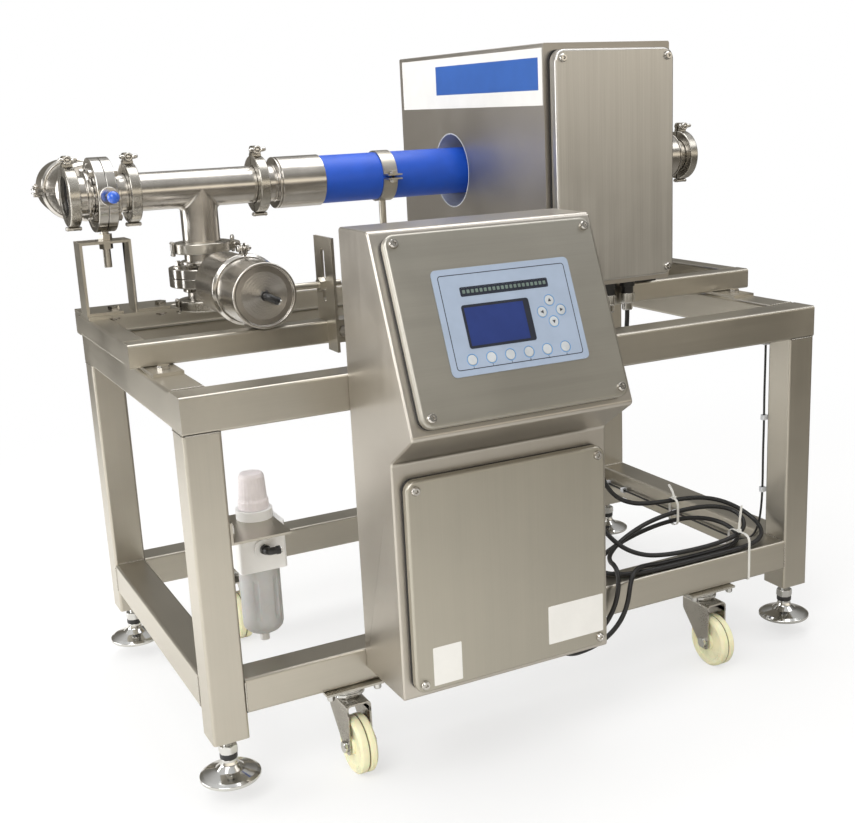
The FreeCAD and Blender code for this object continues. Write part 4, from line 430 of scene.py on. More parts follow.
class Finishes:
    """Every finish of the machine, made once and shared."""

    RECIPES = {
        "rails": Brushed("satin_rails", Grain.RAILS, mask_edge=0.0419),
        "posts": Brushed("satin_posts", Grain.UPRIGHT),
        "long": Brushed("satin_long", Grain.ACROSS),
        "cabinet": Brushed("satin_cabinet", Grain.UPRIGHT, tint=(0.52, 0.49, 0.445), roughness=0.30, depth=0.07),
        "door": Brushed("satin_door", Grain.ACROSS, tint=(0.40, 0.385, 0.345), roughness=0.36, depth=0.14),
        "low_door": Brushed("satin_low_door", Grain.UPRIGHT, tint=(0.44, 0.417, 0.362), roughness=0.33, depth=0.12),
        "head": Brushed("satin_head", Grain.ACROSS, tint=(0.43, 0.405, 0.37), roughness=0.36, depth=0.08),
        "head_door": Brushed("satin_head_door", Grain.UPRIGHT, tint=(0.53, 0.52, 0.50), roughness=0.27, depth=0.34),
        "bright": Polished("bright_steel"),
        "spun": Polished("spun_steel", roughness=0.16, centre=(-0.4459, 0.784)),
        "pipe": Polished("pipe_steel", tint=(0.53, 0.505, 0.47), roughness=0.19, turned=True),
        "cast": Polished("cast_steel", tint=(0.47, 0.45, 0.41), roughness=0.24),
        "zinc": Polished("zinc_plate", tint=(0.53, 0.51, 0.46), roughness=0.25),
        "chrome": Polished("bright_chrome", tint=(0.66, 0.66, 0.65), roughness=0.08),
        "blue_pipe": Moulded("blue_pipe", (0.010, 0.082, 0.520), 0.46, mottle=0.06, relief=0.05),
        "liner": Moulded("aperture_liner", (0.52, 0.54, 0.57), 0.40),
        "gasket": Moulded("door_gasket", (0.012, 0.012, 0.013), 0.55),
        "black": Moulded("black_plastic", (0.014, 0.014, 0.015), 0.35, coat=0.1),
        "cable": Moulded("cable_sheath", (0.010, 0.010, 0.011), 0.38, mottle=0.15),
        "white": Moulded("white_plastic", (0.88, 0.88, 0.88), 0.34, mottle=0.02),
        "plate": Moulded("white_plate", (0.80, 0.80, 0.79), 0.42, mottle=0.02, relief=0.02),
        "sign_blue": Moulded("sign_blue", (0.030, 0.115, 0.42), 0.35, mottle=0.04, relief=0.02),
        "grey": Moulded("grey_plastic", (0.50, 0.50, 0.50), 0.30, mottle=0.05, glow=0.2),
        "pink": Moulded("knob_plastic", (0.84, 0.79, 0.81), 0.42, mottle=0.05),
        "nylon": Moulded("cream_nylon", (0.82, 0.80, 0.55), 0.28, mottle=0.05, glow=0.25),
        # Dark brown fill for the bottom of the wheels' middle tread groove.
        "groove_dark": Moulded("dark_groove_fill", (0.16, 0.14, 0.08), 0.7),
        "orange": Moulded("orange_plastic", (0.85, 0.10, 0.02), 0.40),
        "knob_blue": Moulded("blue_knob", (0.015, 0.10, 0.55), 0.15, coat=0.6, relief=0.01),
        "film": Moulded("panel_film", (0.33, 0.40, 0.52), 0.34, grain=1500.0, relief=0.10, mottle=0.04),
        "key_face": Moulded("key_face", (0.50, 0.53, 0.56), 0.30, relief=0.05),
        "key_ring": Moulded("key_ring", (0.10, 0.30, 0.62), 0.35, relief=0.05),
        "ink": Moulded("printed_ink", (0.03, 0.035, 0.05), 0.45, relief=0.0),
        "screen": Moulded("screen_blue", (0.015, 0.032, 0.150), 0.22, relief=0.0, mottle=0.08, coat=0.3,
                          emission=0.12),
        "bezel": Moulded("screen_bezel", (0.018, 0.022, 0.035), 0.25, coat=0.3, relief=0.02),
        "lamp": Moulded("signal_lamp", (0.14, 0.19, 0.17), 0.25, relief=0.0),
        "bowl": Clear("smoked_bowl", (0.86, 0.88, 0.90), 0.55, 0.16),
        "board": Moulded("circuit_board", (0.02, 0.14, 0.06), 0.4),
        "tie": Moulded("tie_nylon", (0.78, 0.78, 0.76), 0.4, mottle=0.02),
        "clip": Moulded("clip_nylon", (0.62, 0.64, 0.68), 0.4),
    }

    def __init__(self) -> None:
        """Start with nothing made."""
        self.made: dict[str, bpy.types.Material] = {}

    def __getitem__(self, name: str) -> bpy.types.Material:
        """Return a finish, built the first time it is asked for."""
        if name not in self.made:
            self.made[name] = self.RECIPES[name].make()
        return self.made[name]


FINISH = Finishes()


# Surfaces


def rounded_outline(corners: Sequence[Sequence[float]], radii: float | Sequence[float], steps: int = 5) -> Array:
    """Round the corners of a closed outline: each corner becomes an arc tangent to both its edges.

    Args:
        corners: The outline's corners in order.
        radii: One radius, or one per corner.
        steps: Points per arc.

    Returns:
        The outline's points, shape (n, 2).
    """
    points = np.asarray(corners, float)
    sizes = np.broadcast_to(np.asarray(radii, float), (len(points),))
    before, after = np.roll(points, 1, 0), np.roll(points, -1, 0)
    back = (before - points) / np.linalg.norm(before - points, axis=1, keepdims=True)
    ahead = (after - points) / np.linalg.norm(after - points, axis=1, keepdims=True)
    half = np.arccos(np.clip((back * ahead).sum(1), -1, 1)) / 2
    reach = sizes / np.tan(half)
    bisector = (back + ahead) / np.linalg.norm(back + ahead, axis=1, keepdims=True)
    centre = points + bisector * (sizes / np.sin(half))[:, None]
    start, end = points + back * reach[:, None] - centre, points + ahead * reach[:, None] - centre
    first = np.arctan2(start[:, 1], start[:, 0])
    sweep = (np.arctan2(end[:, 1], end[:, 0]) - first + np.pi) % (2 * np.pi) - np.pi
    angles = first[:, None] + sweep[:, None] * np.linspace(0, 1, steps)[None]
    arcs = centre[:, None] + sizes[:, None, None] * np.stack([np.cos(angles), np.sin(angles)], -1)
    return arcs.reshape(-1, 2)


def rounded_line(corners: Sequence[Sequence[float]], radius: float | Sequence[float], steps: int = 5) -> Array:
    """Round the inner corners of an open line, keeping both its ends."""
    points = np.asarray(corners, float)
    sizes = np.zeros(len(points)) + 1e-6
    sizes[1:-1] = radius
    arcs = rounded_outline(points, sizes, steps).reshape(len(points), steps, 2)
    return np.concatenate([points[:1], arcs[1:-1].reshape(-1, 2), points[-1:]])


AXES = {
    "x": ((0, 0, -1), (0, 1, 0), (1, 0, 0)), "-x": ((0, 0, 1), (0, 1, 0), (-1, 0, 0)),
    "y": ((1, 0, 0), (0, 0, -1), (0, 1, 0)), "-y": ((1, 0, 0), (0, 0, 1), (0, -1, 0)),
    "z": ((1, 0, 0), (0, 1, 0), (0, 0, 1)), "-z": ((1, 0, 0), (0, -1, 0), (0, 0, -1)),
}


@dataclass(frozen=True)
class Seat:
    """A local frame: a point and three directions, to lay a shape out in."""

    at: tuple[float, float, float]
    axes: tuple = AXES["z"]

    def carry(self, points: Array) -> Array:
        """Return local points in base-frame millimetres: the sum of each coordinate times its direction."""
        return np.asarray(self.at, float) + np.asarray(points, float) @ np.asarray(self.axes, float)

    def spun(self, degrees: float) -> "Seat":
        """Return the same seat turned about its third direction."""
        turn = math.radians(degrees)
        first, second, third = (np.asarray(axis, float) for axis in self.axes)
        return Seat(self.at, (first * math.cos(turn) + second * math.sin(turn),
                              second * math.cos(turn) - first * math.sin(turn), third))

    def child(self, at: Sequence[float], axis: str = "z") -> "Seat":
        """Return a seat placed and turned within this one."""
        return Seat(tuple(self.carry(at)), tuple(np.asarray(AXES[axis], float) @ np.asarray(self.axes, float)))

    @staticmethod
    def on(axis: str, at: Sequence[float]) -> "Seat":
        """Return a seat whose third direction is a named axis."""
        return Seat(tuple(at), AXES[axis])


class Piece:
    """A mesh piece under construction, made of point grids."""

    def __init__(self, name: str) -> None:
        """Start with no points."""
        self.name = name
        self.points: list[Array] = []
        self.faces: list[tuple[int, ...]] = []
        self.slots: list[int] = []
        self.count = 0

    def grid(self, points: Array, around: bool = True, slot: int = 0, caps: bool = False,
             loop: bool = False) -> "Piece":
        """Add a grid of points as quads.

        Args:
            points: Shape (rows, columns, 3), in base-frame millimetres.
            around: Whether the last column joins the first.
            slot: The material slot.
            caps: Whether the first and last rows are filled.
            loop: Whether the last row joins the first.

        Returns:
            This piece.
        """
        rows, columns = points.shape[:2]
        index = np.arange(rows * columns).reshape(rows, columns) + self.count
        if around:
            index = np.concatenate([index, index[:, :1]], 1)
        if loop:
            index = np.concatenate([index, index[:1]], 0)
        quads = np.stack([index[:-1, :-1], index[:-1, 1:], index[1:, 1:], index[1:, :-1]], -1).reshape(-1, 4)
        self.faces += [tuple(face) for face in quads.tolist()]
        self.slots += [slot] * len(quads)
        if caps:
            first = np.arange(columns) + self.count
            self.faces += [tuple(first[::-1].tolist()), tuple((first + (rows - 1) * columns).tolist())]
            self.slots += [slot, slot]
        self.points.append(points.reshape(-1, 3))
        self.count += rows * columns
        return self

    def lathe(self, seat: Seat, profile: Array, steps: int = 64, slot: int = 0, closed: bool = False,
              shape: Callable[[Array, Array], Array] | None = None) -> "Piece":
        """Turn a profile: x = r cos a, y = r sin a, z = h, with r scaled by an optional shape(a, h).

        Args:
            seat: Where the axis stands.
            profile: Radius and height pairs.
            steps: Points around.
            slot: The material slot.
            closed: Whether the profile is a closed outline.
            shape: A factor on the radius by angle and height.

        Returns:
            This piece.
        """
        angle = np.linspace(0, 2 * np.pi, steps, endpoint=False)[None]
        radius, height = profile[:, :1], profile[:, 1:2] + 0 * angle
        reach = radius * (shape(angle, height) if shape else np.ones_like(angle))
        local = np.stack([reach * np.cos(angle), reach * np.sin(angle), height], -1)
        return self.grid(seat.carry(local), slot=slot, loop=closed)

    def arc(self, seat: Seat, profile: Array, start: float, sweep: float, steps: int = 48,
            slot: int = 0) -> "Piece":
        """Carry a closed profile round part of a turn, x = r cos a and y = r sin a, and close both ends.

        Args:
            seat: Where the axis stands.
            profile: Radius and height pairs of a closed outline.
            start: The first angle in degrees.
            sweep: The angle covered.
            steps: Sections along the arc.
            slot: The material slot.

        Returns:
            This piece.
        """
        angle = np.radians(start + sweep * np.linspace(0, 1, steps))[:, None]
        radius, height = profile[None, :, 0], profile[None, :, 1]
        local = np.stack([radius * np.cos(angle), radius * np.sin(angle), height + 0 * angle], -1)
        return self.grid(seat.carry(local), slot=slot, caps=True)

    def prism(self, seat: Seat, outline: Array, low: float, high: float, edge: float = 0.0,
              slot: int = 0, steps: int = 3, foot: float = 0.0) -> "Piece":
        """Raise an outline: each row is the outline moved in along its normals as the edges' arcs say.

        Args:
            seat: Where the outline lies.
            outline: Points of a closed outline, counter-clockwise.
            low: Height of the foot.
            high: Height of the top.
            edge: Radius of the top's edge.
            slot: The material slot.
            steps: Points on the edge's arc.
            foot: Radius of the foot's edge.

        Returns:
            This piece.
        """
        tangent = np.roll(outline, -1, 0) - np.roll(outline, 1, 0)
        normal = np.stack([tangent[:, 1], -tangent[:, 0]], 1)
        normal /= np.linalg.norm(normal, axis=1, keepdims=True) + 1e-12
        arc = np.linspace(0, np.pi / 2, steps) if edge else np.array([0.0])
        base = np.linspace(np.pi / 2, 0, steps) if foot else np.array([0.0])
        inset = np.concatenate([foot * (1 - np.cos(base)), edge * (1 - np.cos(arc))])
        height = np.concatenate([low + foot - foot * np.sin(base), high - edge + edge * np.sin(arc)])
        flat = outline[None] - normal[None] * inset[:, None, None]
        local = np.concatenate([flat, np.broadcast_to(height[:, None, None], (*flat.shape[:2], 1))], -1)
        return self.grid(seat.carry(local), slot=slot, caps=True)

    def tube(self, path: Array, radius: float | Array, steps: int = 10, slot: int = 0,
             ends: bool = True) -> "Piece":
        """Carry a circle along a path: each ring lies across the path's own direction.

        Args:
            path: Points along the middle, shape (n, 3).
            radius: One radius, or one per point.
            steps: Points around.
            slot: The material slot.
            ends: Whether both ends are filled.

        Returns:
            This piece.
        """
        ahead = np.gradient(path, axis=0)
        ahead /= np.linalg.norm(ahead, axis=1, keepdims=True)
        guide = np.array([0.0, 0.0, 1.0]) if abs(ahead[:, 2]).mean() < 0.7 else np.array([0.0, 1.0, 0.0])
        side = np.cross(ahead, guide)
        side /= np.linalg.norm(side, axis=1, keepdims=True)
        up = np.cross(side, ahead)
        angle = np.linspace(0, 2 * np.pi, steps, endpoint=False)[None, :, None]
        size = np.broadcast_to(np.asarray(radius, float), (len(path),))[:, None, None]
        rings = path[:, None] + size * (side[:, None] * np.cos(angle) + up[:, None] * np.sin(angle))
        return self.grid(rings, slot=slot, caps=ends)

    def build(self, materials: Sequence[str], body: str = MACHINE, replaces: Sequence[str] = (),
              slot: str | None = None, sharp: float = 35.0, bevel: float = 0.0) -> bpy.types.Object:
        """Make the object, ride it on its body and dress it.

        Args:
            materials: Finish names, one per slot.
            body: The CAD body that carries the piece.
            replaces: CAD nodes that it stands for.
            slot: The record's material slot; not used.
            sharp: Angle above which an edge stays sharp.
            bevel: Width of a live bevel.

        Returns:
            The finished object.
        """
        mesh = bpy.data.meshes.new(self.name)
        mesh.from_pydata(row(np.concatenate(self.points)).tolist(), [], self.faces)
        mesh.polygons.foreach_set("material_index", np.array(self.slots, np.int32))
        return finish_mesh(self.name, mesh, materials, body, replaces, sharp, bevel)


def finish_mesh(name: str, mesh: bpy.types.Mesh, materials: Sequence[str], body: str,
                replaces: Sequence[str], sharp: float, bevel: float) -> bpy.types.Object:
    """Close a mesh, point its faces outwards, and put it in the scene on its body."""
    work = bmesh.new()
    work.from_mesh(mesh)
    bmesh.ops.remove_doubles(work, verts=work.verts, dist=2e-6)
    bmesh.ops.dissolve_degenerate(work, dist=1e-6, edges=work.edges)
    bmesh.ops.recalc_face_normals(work, faces=work.faces)
    work.to_mesh(mesh)
    work.free()
    for material in materials:
        mesh.materials.append(FINISH[material])
    piece = bpy.data.objects.new(name, mesh)
    bpy.context.scene.collection.objects.link(piece)
    smooth(piece, sharp, bevel)
    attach(piece, body)
    if replaces:
        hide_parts(*replaces)
    return piece


def smooth(piece: bpy.types.Object, sharp: float, bevel: float) -> None:
    """Shade a piece smooth up to an angle, with an optional bevel on its sharper edges."""
    mesh = piece.data
    mesh.polygons.foreach_set("use_smooth", np.ones(len(mesh.polygons), bool))
    if bevel:
        cut = piece.modifiers.new("edges", "BEVEL")
        cut.width = bevel / 1000.0
        cut.segments = 2
        cut.limit_method = "ANGLE"
        cut.angle_limit = math.radians(sharp)
    else:
        mesh.set_sharp_from_angle(angle=math.radians(sharp))
    even = piece.modifiers.new("even_shading", "WEIGHTED_NORMAL")
    even.keep_sharp = True
    even.weight = 90
    mesh.update()


def softened(frame: dict, node: str, materials: Sequence[str], bevel: float = 0.8, sharp: float = 38.0,
             keep: Callable[[Array], Array] | None = None) -> bpy.types.Object:
    """Stand a bevelled copy of a CAD node in its place.

    Args:
        node: The CAD node.
        materials: Finish names; faces go to the second one where keep says.
        bevel: Width of the bevel in millimetres.
        sharp: Angle above which an edge is bevelled.
        keep: Tells from face centres, in base-frame millimetres, which faces take the second finish.

    Returns:
        The new object.
    """
    source = frame["nodes"][node]
    mesh = source.data.copy()
    mesh.name = f"{node}_skin"
    mesh.materials.clear()
    work = bmesh.new()
    work.from_mesh(mesh)
    bmesh.ops.remove_doubles(work, verts=work.verts, dist=2e-6)
    work.to_mesh(mesh)
    work.free()
    for material in materials:
        mesh.materials.append(FINISH[material])
    if keep is not None:
        centres = np.empty(len(mesh.polygons) * 3)
        mesh.polygons.foreach_get("center", centres)
        chosen = keep(centres.reshape(-1, 3) * 1000.0 + ORIGIN)
        mesh.polygons.foreach_set("material_index", np.asarray(chosen, np.int32))
    piece = bpy.data.objects.new(f"{node}_skin", mesh)
    bpy.context.scene.collection.objects.link(piece)
    smooth(piece, sharp, bevel)
    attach(piece, source["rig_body"])
    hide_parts(node)
    return piece


def dressed(frame: dict, node: str, finish: str) -> None:
    """Give a carried-over node its finish."""
    mesh = frame["nodes"][node].data
    mesh.materials.clear()
    mesh.materials.append(FINISH[finish])
    mesh.polygons.foreach_set("material_index", np.zeros(len(mesh.polygons), np.int32))


# Sub-assemblies


@dataclass
class BaseFrame:
    """The welded base of square tube with its sub-frame."""

    tube: float = 60.0
    length: float = 1240.0
    depth: float = 700.0
    bead: float = 2.2

    def weld(self, piece: Piece, corners: Sequence[Sequence[float]]) -> None:
        """Lay a weld bead through corners: its radius swells and shrinks as sin of the distance run."""
        points = np.asarray(corners, float)
        runs = []
        for start, end in zip(points[:-1], points[1:]):
            count = max(3, int(np.linalg.norm(end - start) / 2.0))
            runs.append(start + (end - start) * np.linspace(0, 1, count, endpoint=False)[:, None])
        path = np.concatenate([*runs, points[-1:]])
        ripple = self.bead * (0.62 + 0.13 * np.sin(np.arange(len(path)) * 1.9))
        piece.tube(path, ripple, steps=6)

    def build(self, frame: dict) -> None:
        """Dress the tubes and lay the beads at their joints."""
        softened(frame, "base_legs", ["posts"], 0.0, 30.0)
        softened(frame, "base_rails", ["rails"], 0.0, 30.0)
        softened(frame, "subframe", ["rails"], 0.0, 30.0)
        beads = Piece("frame_welds")
        reach = self.tube
        for left in (0.0, self.length - reach):
            for front in (0.0, self.depth - reach):
                right, back = left + reach, front + reach
                outer_x = left if left == 0.0 else right
                for height in (620.0,):
                    self.weld(beads, [(left + 4, front, height), (right - 4, front, height)])
                    self.weld(beads, [(left + 4, back, height), (right - 4, back, height)])
                    self.weld(beads, [(outer_x, front + 4, height), (outer_x, back - 4, height)])
                inner_x = right if left == 0.0 else left
                inner_y = back if front == 0.0 else front
                for low, high in ((152.0, 212.0),):
                    for y in (front, back):
                        self.weld(beads, [(inner_x, y, low + 5), (inner_x, y, high - 5)])
                    self.weld(beads, [(inner_x, front + 5, high), (inner_x, back - 5, high)])
                    for x in (left, right):
                        self.weld(beads, [(x, inner_y, low + 5), (x, inner_y, high - 5)])
                    self.weld(beads, [(left + 5, inner_y, high), (right - 5, inner_y, high)])
                for y in (inner_y,):
                    self.weld(beads, [(left + 5, y, 680.0), (right - 5, y, 680.0)])
        beads.build(["cast"], slot="stainless", sharp=80.0)


@dataclass
class Foot:
    """A levelling foot: bell-shaped disc, hexagon and threaded stud, with a lock nut under the leg."""

    name: str
    at: tuple[float, float]
    pitch: float = 2.0

    def build(self) -> None:
        """Turn the disc and cut the thread: the stud's radius follows a triangle wave of angle and height."""
        seat = Seat.on("z", (*self.at, 0.0))
        piece = Piece(f"foot_{self.name}_dressed")
        disc = rounded_outline([(0.01, 36.2), (48.5, 36.2), (50.0, 38.0), (50.0, 42.0), (44.0, 45.5), (24.0, 52.0),
                                (15.0, 60.0), (13.0, 66.0), (13.0, 70.0), (0.01, 70.0)],
                               [0.001, 0.8, 0.8, 1.5, 4, 8, 6, 3, 1, 0.001], 5)
        piece.lathe(seat, disc, 64, closed=True)
        rubber = rounded_outline([(0.01, 70.0), (14.5, 70.0), (14.5, 80.0), (0.01, 80.0)], [0.001, 2, 2, 0.001], 4)
        piece.lathe(seat, rubber, 40, slot=1, closed=True)
        self.hexagon(piece, seat, 80.0, 93.8)
        heights = np.arange(92.0, 181.6, self.pitch / 8)

        def thread(angle: Array, height: Array) -> Array:
            """Return the stud's radius factor."""
            phase = (height / self.pitch - angle / (2 * np.pi)) % 1.0
            return 0.93 + 0.14 * np.abs(phase - 0.5)

        profile = np.concatenate([[[0.01, 92.0]], np.stack([np.full_like(heights, 7.8), heights], 1), [[0.01, 181.6]]])
        piece.lathe(seat, profile, 24, shape=thread)
        piece.build(["chrome", "black"], f"foot_{self.name}", [f"foot_{self.name}"], "zinc", 40.0)

    def lock_nut(self, piece: Piece) -> None:
        """Add the nut that is set against the leg; the foot's hexagon comes up to 0.5 mm under it."""
        self.hexagon(piece, Seat.on("z", (*self.at, 0.0)), 104.3, 109.9, bore=9.3)

    @staticmethod
    def hexagon(piece: Piece, seat: Seat, low: float, high: float, radius: float = 15.8, slot: int = 0,
                bore: float = 0.01) -> None:
        """Add a chamfered hexagon: its flats' radius is cos 30 / cos of the angle from each flat, cut by a cone."""
        angle_count = 48
        middle = (low + high) / 2

        def flats(angle: Array, height: Array) -> Array:
            """Return the factor that turns a circle into a chamfered hexagon."""
            flat = math.cos(math.pi / 6) / np.cos((angle + np.pi / 6) % (np.pi / 3) - np.pi / 6)
            cone = 1.0 - 0.5 * np.clip(np.abs(height - middle) - (high - low) / 2 + 1.6, 0, None) / radius * 1.7
            return np.minimum(flat, cone)

        heights = np.array([low, low + 0.6, low + 1.6, high - 1.6, high - 0.6, high])
        profile = np.concatenate([[[bore, low]], np.stack([np.full(6, radius), heights], 1), [[bore, high]]])
        piece.lathe(seat, profile, angle_count, slot, bore > 1.0, flats)


@dataclass
class Wheel:
    """A cream nylon wheel with two treads and a hub."""

    name: str
    at: tuple[float, float]

    def build(self) -> None:
        """Turn the wheel's closed profile about its axle."""
        seat = Seat.on("x", (self.at[0], self.at[1] - 38.0, 50.0))
        half = [(5.06, 17.0), (16, 17.0), (17, 12.5), (36, 12.0), (39, 15.2), (45, 15.8), (49.6, 12.0), (50, 6.0),
                (49.6, 1.6), (47.6, 1.2)]
        corners = half + [(r, -h) for r, h in reversed(half)]
        outline = rounded_outline([(r, h) for r, h in corners], [0.3, 1, 1, 2.5, 2, 2, 2.5, 3, 0.6, 0.3] +
                                  [0.3, 0.6, 3, 2.5, 2, 2, 2.5, 1, 1, 0.3], 5)
        piece = Piece(f"wheel_{self.name}_dressed").lathe(seat, outline, 96, closed=True)
        # A darker ring laid in the bottom of the tread's middle groove.
        groove = rounded_outline([(46.8, -1.0), (48.3, -1.0), (48.3, 1.0), (46.8, 1.0)], 0.2, 3)
        piece.lathe(seat, groove, 96, 1, True)
        piece.build(["nylon", "groove_dark"], f"wheel_{self.name}", [f"caster_wheel_{self.name}"], "nylon", 50.0)


@dataclass
class Fork:
    """A pressed caster fork: a raceway, a bent bridge, two cheeks and the axle's bolt."""

    name: str
    at: tuple[float, float]
    inner: float = 18.5
    outer: float = 22.0
    top: float = 128.0
    race: float = 30.0
    front: float = -50.0
    back: float = 28.0
    axle: tuple[float, float] = (-38.0, 50.0)

    def raceway(self, piece: Piece, seat: Seat) -> None:
        """Turn the two rolled rings of the raceway as one closed profile with a groove between them."""
        reach = self.race
        corners = [(6.05, self.top), (reach - 2.5, self.top), (reach, self.top + 3.0), (reach, self.top + 7.4),
                   (reach - 2.6, self.top + 8.8), (reach - 2.6, self.top + 10.4), (reach, self.top + 11.6),
                   (reach, self.top + 19.7), (6.05, self.top + 19.7)]
        profile = rounded_outline(corners, [0.3, 1.4, 1.4, 1.4, 0.8, 0.8, 1.2, 1.6, 0.3], 4)
        piece.lathe(seat, profile, 72, slot=1, closed=True)

    def bridge(self, piece: Piece, seat: Seat) -> None:
        """Raise the bridge's bent section along y: a plate whose two ends turn down in an arc."""
        inner, outer, top = self.inner, self.outer + 0.05, self.top
        section = [(-outer, top - 20.0), (-inner, top - 20.0), (-inner, top - 3.5), (inner, top - 3.5),
                   (inner, top - 20.0), (outer, top - 20.0), (outer, top), (-outer, top)]
        outline = rounded_outline([(x, -z) for x, z in section[::-1]], [7.5, 7.5, 1.2, 1.2, 4.5, 4.5, 1.2, 1.2], 6)
        piece.prism(seat.child((0, 0, 0), "y"), outline, self.front, self.back, 0.9, foot=0.9)

    def cheek(self, piece: Piece, seat: Seat, sign: float) -> None:
        """Raise one cheek across x from its rounded outline."""
        deep, high = self.axle
        corners = [(self.front, 118.0), (self.front, high - 15.0), (deep + 11.0, high - 15.0),
                   (deep + 19.0, high - 2.0), (self.back, 100.0), (self.back, 118.0)]
        outline = rounded_outline([(sign * -z, y) for y, z in corners[::int(sign)]],
                                  [1.3, 9.0, 9.0, 9.0, 16.0, 1.3][::int(sign)], 6)
        side = seat.child((0, 0, 0), "x" if sign > 0 else "-x")
        piece.prism(side, outline, self.inner, self.outer, 1.0, foot=0.6)

    def build(self) -> None:
        """Put the fork together and stand it for its node."""
        seat = Seat.on("z", (*self.at, 0.0))
        piece = Piece(f"caster_fork_{self.name}_dressed")
        self.raceway(piece, seat)
        self.bridge(piece, seat)
        for sign in (1.0, -1.0):
            self.cheek(piece, seat, sign)
        axle = seat.child((0.0, *self.axle), "x")
        reach = self.outer
        for low, high in ((-reach - 7.0, -reach), (reach, reach + 7.0)):
            Foot.hexagon(piece, axle, low, high, 10.5, 1)
        piece.lathe(axle, rounded_outline([(0.01, -reach - 5.0), (5.0, -reach - 5.0), (5.0, reach + 8.4),
                                           (0.01, reach + 8.4)], [0.001, 0.8, 1.2, 0.001], 4), 28, slot=1,
                    closed=True)
        piece.build(["cast", "chrome"], f"fork_{self.name}", [f"caster_fork_{self.name}"], "zinc", 40.0)


@dataclass
class Casters:
    """The swivel casters and the levelling feet."""

    places: dict[str, tuple[float, float]] = field(default_factory=lambda: {
        "front_left": (242.0, 30.0), "front_right": (994.0, 30.0), "rear_left": (242.0, 670.0),
        "rear_right": (994.0, 670.0)})
    corners: dict[str, tuple[float, float]] = field(default_factory=lambda: {
        "front_left": (30.0, 30.0), "front_right": (1210.0, 30.0), "rear_left": (30.0, 670.0),
        "rear_right": (1210.0, 670.0)})

    def build(self, frame: dict) -> None:
        """Build each foot, fork and wheel."""
        softened(frame, "caster_plates", ["zinc"], 0.8)
        bolts = Piece("caster_plate_bolts")
        for name, at in self.places.items():
            Fork(name, at).build()
            self.plate_bolts(bolts, at)
            Wheel(name, at).build()
        bolts.build(["chrome"], slot="zinc", sharp=40.0)
        nuts = Piece("leg_lock_nuts")
        for name, at in self.corners.items():
            foot = Foot(name, at)
            foot.build()
            foot.lock_nut(nuts)
        nuts.build(["chrome"], slot="zinc", sharp=40.0)

    @staticmethod
    def plate_bolts(piece: Piece, at: tuple[float, float]) -> None:
        """Add the four bolt heads under one plate."""
        for across in (-42.0, 42.0):
            for deep in (-34.0, 34.0):
                Foot.hexagon(piece, Seat.on("z", (at[0] + across, at[1] + deep, 0.0)), 138.5, 147.98, 6.6)


@dataclass
class FlatFace:
    """A flat face of a housing that carries a cover: x across, y up the face, z outwards."""

    centre: tuple[float, float, float]
    tilt: float
    width: float
    height: float

    def seat(self, across: float = 0.0, up: float = 0.0, out: float = 0.0) -> Seat:
        """Return the seat at a place on the face."""
        turn = math.radians(self.tilt)
        axes = ((1.0, 0.0, 0.0), (0.0, math.cos(turn), math.sin(turn)), (0.0, -math.sin(turn), math.cos(turn)))
        at = np.asarray(self.centre) + across * np.array(axes[0]) + up * np.array(axes[1]) + out * np.array(axes[2])
        return Seat(tuple(at), axes)


def rectangle(width: float, height: float, radius: float, steps: int = 8) -> Array:
    """Return a rounded rectangle about the middle, counter-clockwise."""
    half_w, half_h = width / 2, height / 2
    return rounded_outline([(-half_w, -half_h), (half_w, -half_h), (half_w, half_h), (-half_w, half_h)],
                           radius, steps)


@dataclass
class Cover:
    """A folded cover pan on its gasket: rounded corners and a rolled front edge. The black gasket also fills the shadow
    gap under the pan, so it is partly real rubber and partly painted shadow.
    """

    name: str
    node: str
    face: FlatFace
    depth: float
    finish: str
    corner: float = 18.0
    gasket: float = 5.0
    edge: float = 4.5
    shadow: float = 1.6

    def build(self) -> None:
        """Sweep the pan's section round its outline: in from the back, over the edge's arc, flat to the middle."""
        outer = rectangle(self.face.width, self.face.height, self.corner, 10)
        seat = self.face.seat()
        piece = Piece(f"{self.name}_pan")
        piece.prism(seat, outer, self.gasket + self.shadow, self.gasket + self.depth, self.edge, steps=7)
        piece.build([self.finish], replaces=[self.node], slot="stainless", sharp=30.0)
        # Painted shadow: the black gasket reaches up through the shadow gap to the pan's back, thicker than the real
        # rubber.
        inner = rectangle(self.face.width - 5.0, self.face.height - 5.0, self.corner - 2.0, 10)
        Piece(f"{self.name}_gasket").prism(seat, inner, 0.05, self.gasket + self.shadow + 0.3, 0.0).build(
            ["gasket"], slot="black_rubber", sharp=30.0)


LEAN = 90.0 - math.degrees(math.atan(119.0 / 289.0))
SLOPE = math.hypot(119.0, 289.0)
HEAD_FACE = FlatFace((897.0, 190.0, 958.5), 90.0, 260.0, 421.0)
UPPER_FACE = FlatFace((460.0, -168.5, 764.5), LEAN, 356.0, SLOPE - 24.0)
LOWER_FACE = FlatFace((460.0, -148.0, 367.5), 90.0, 356.0, 347.0)


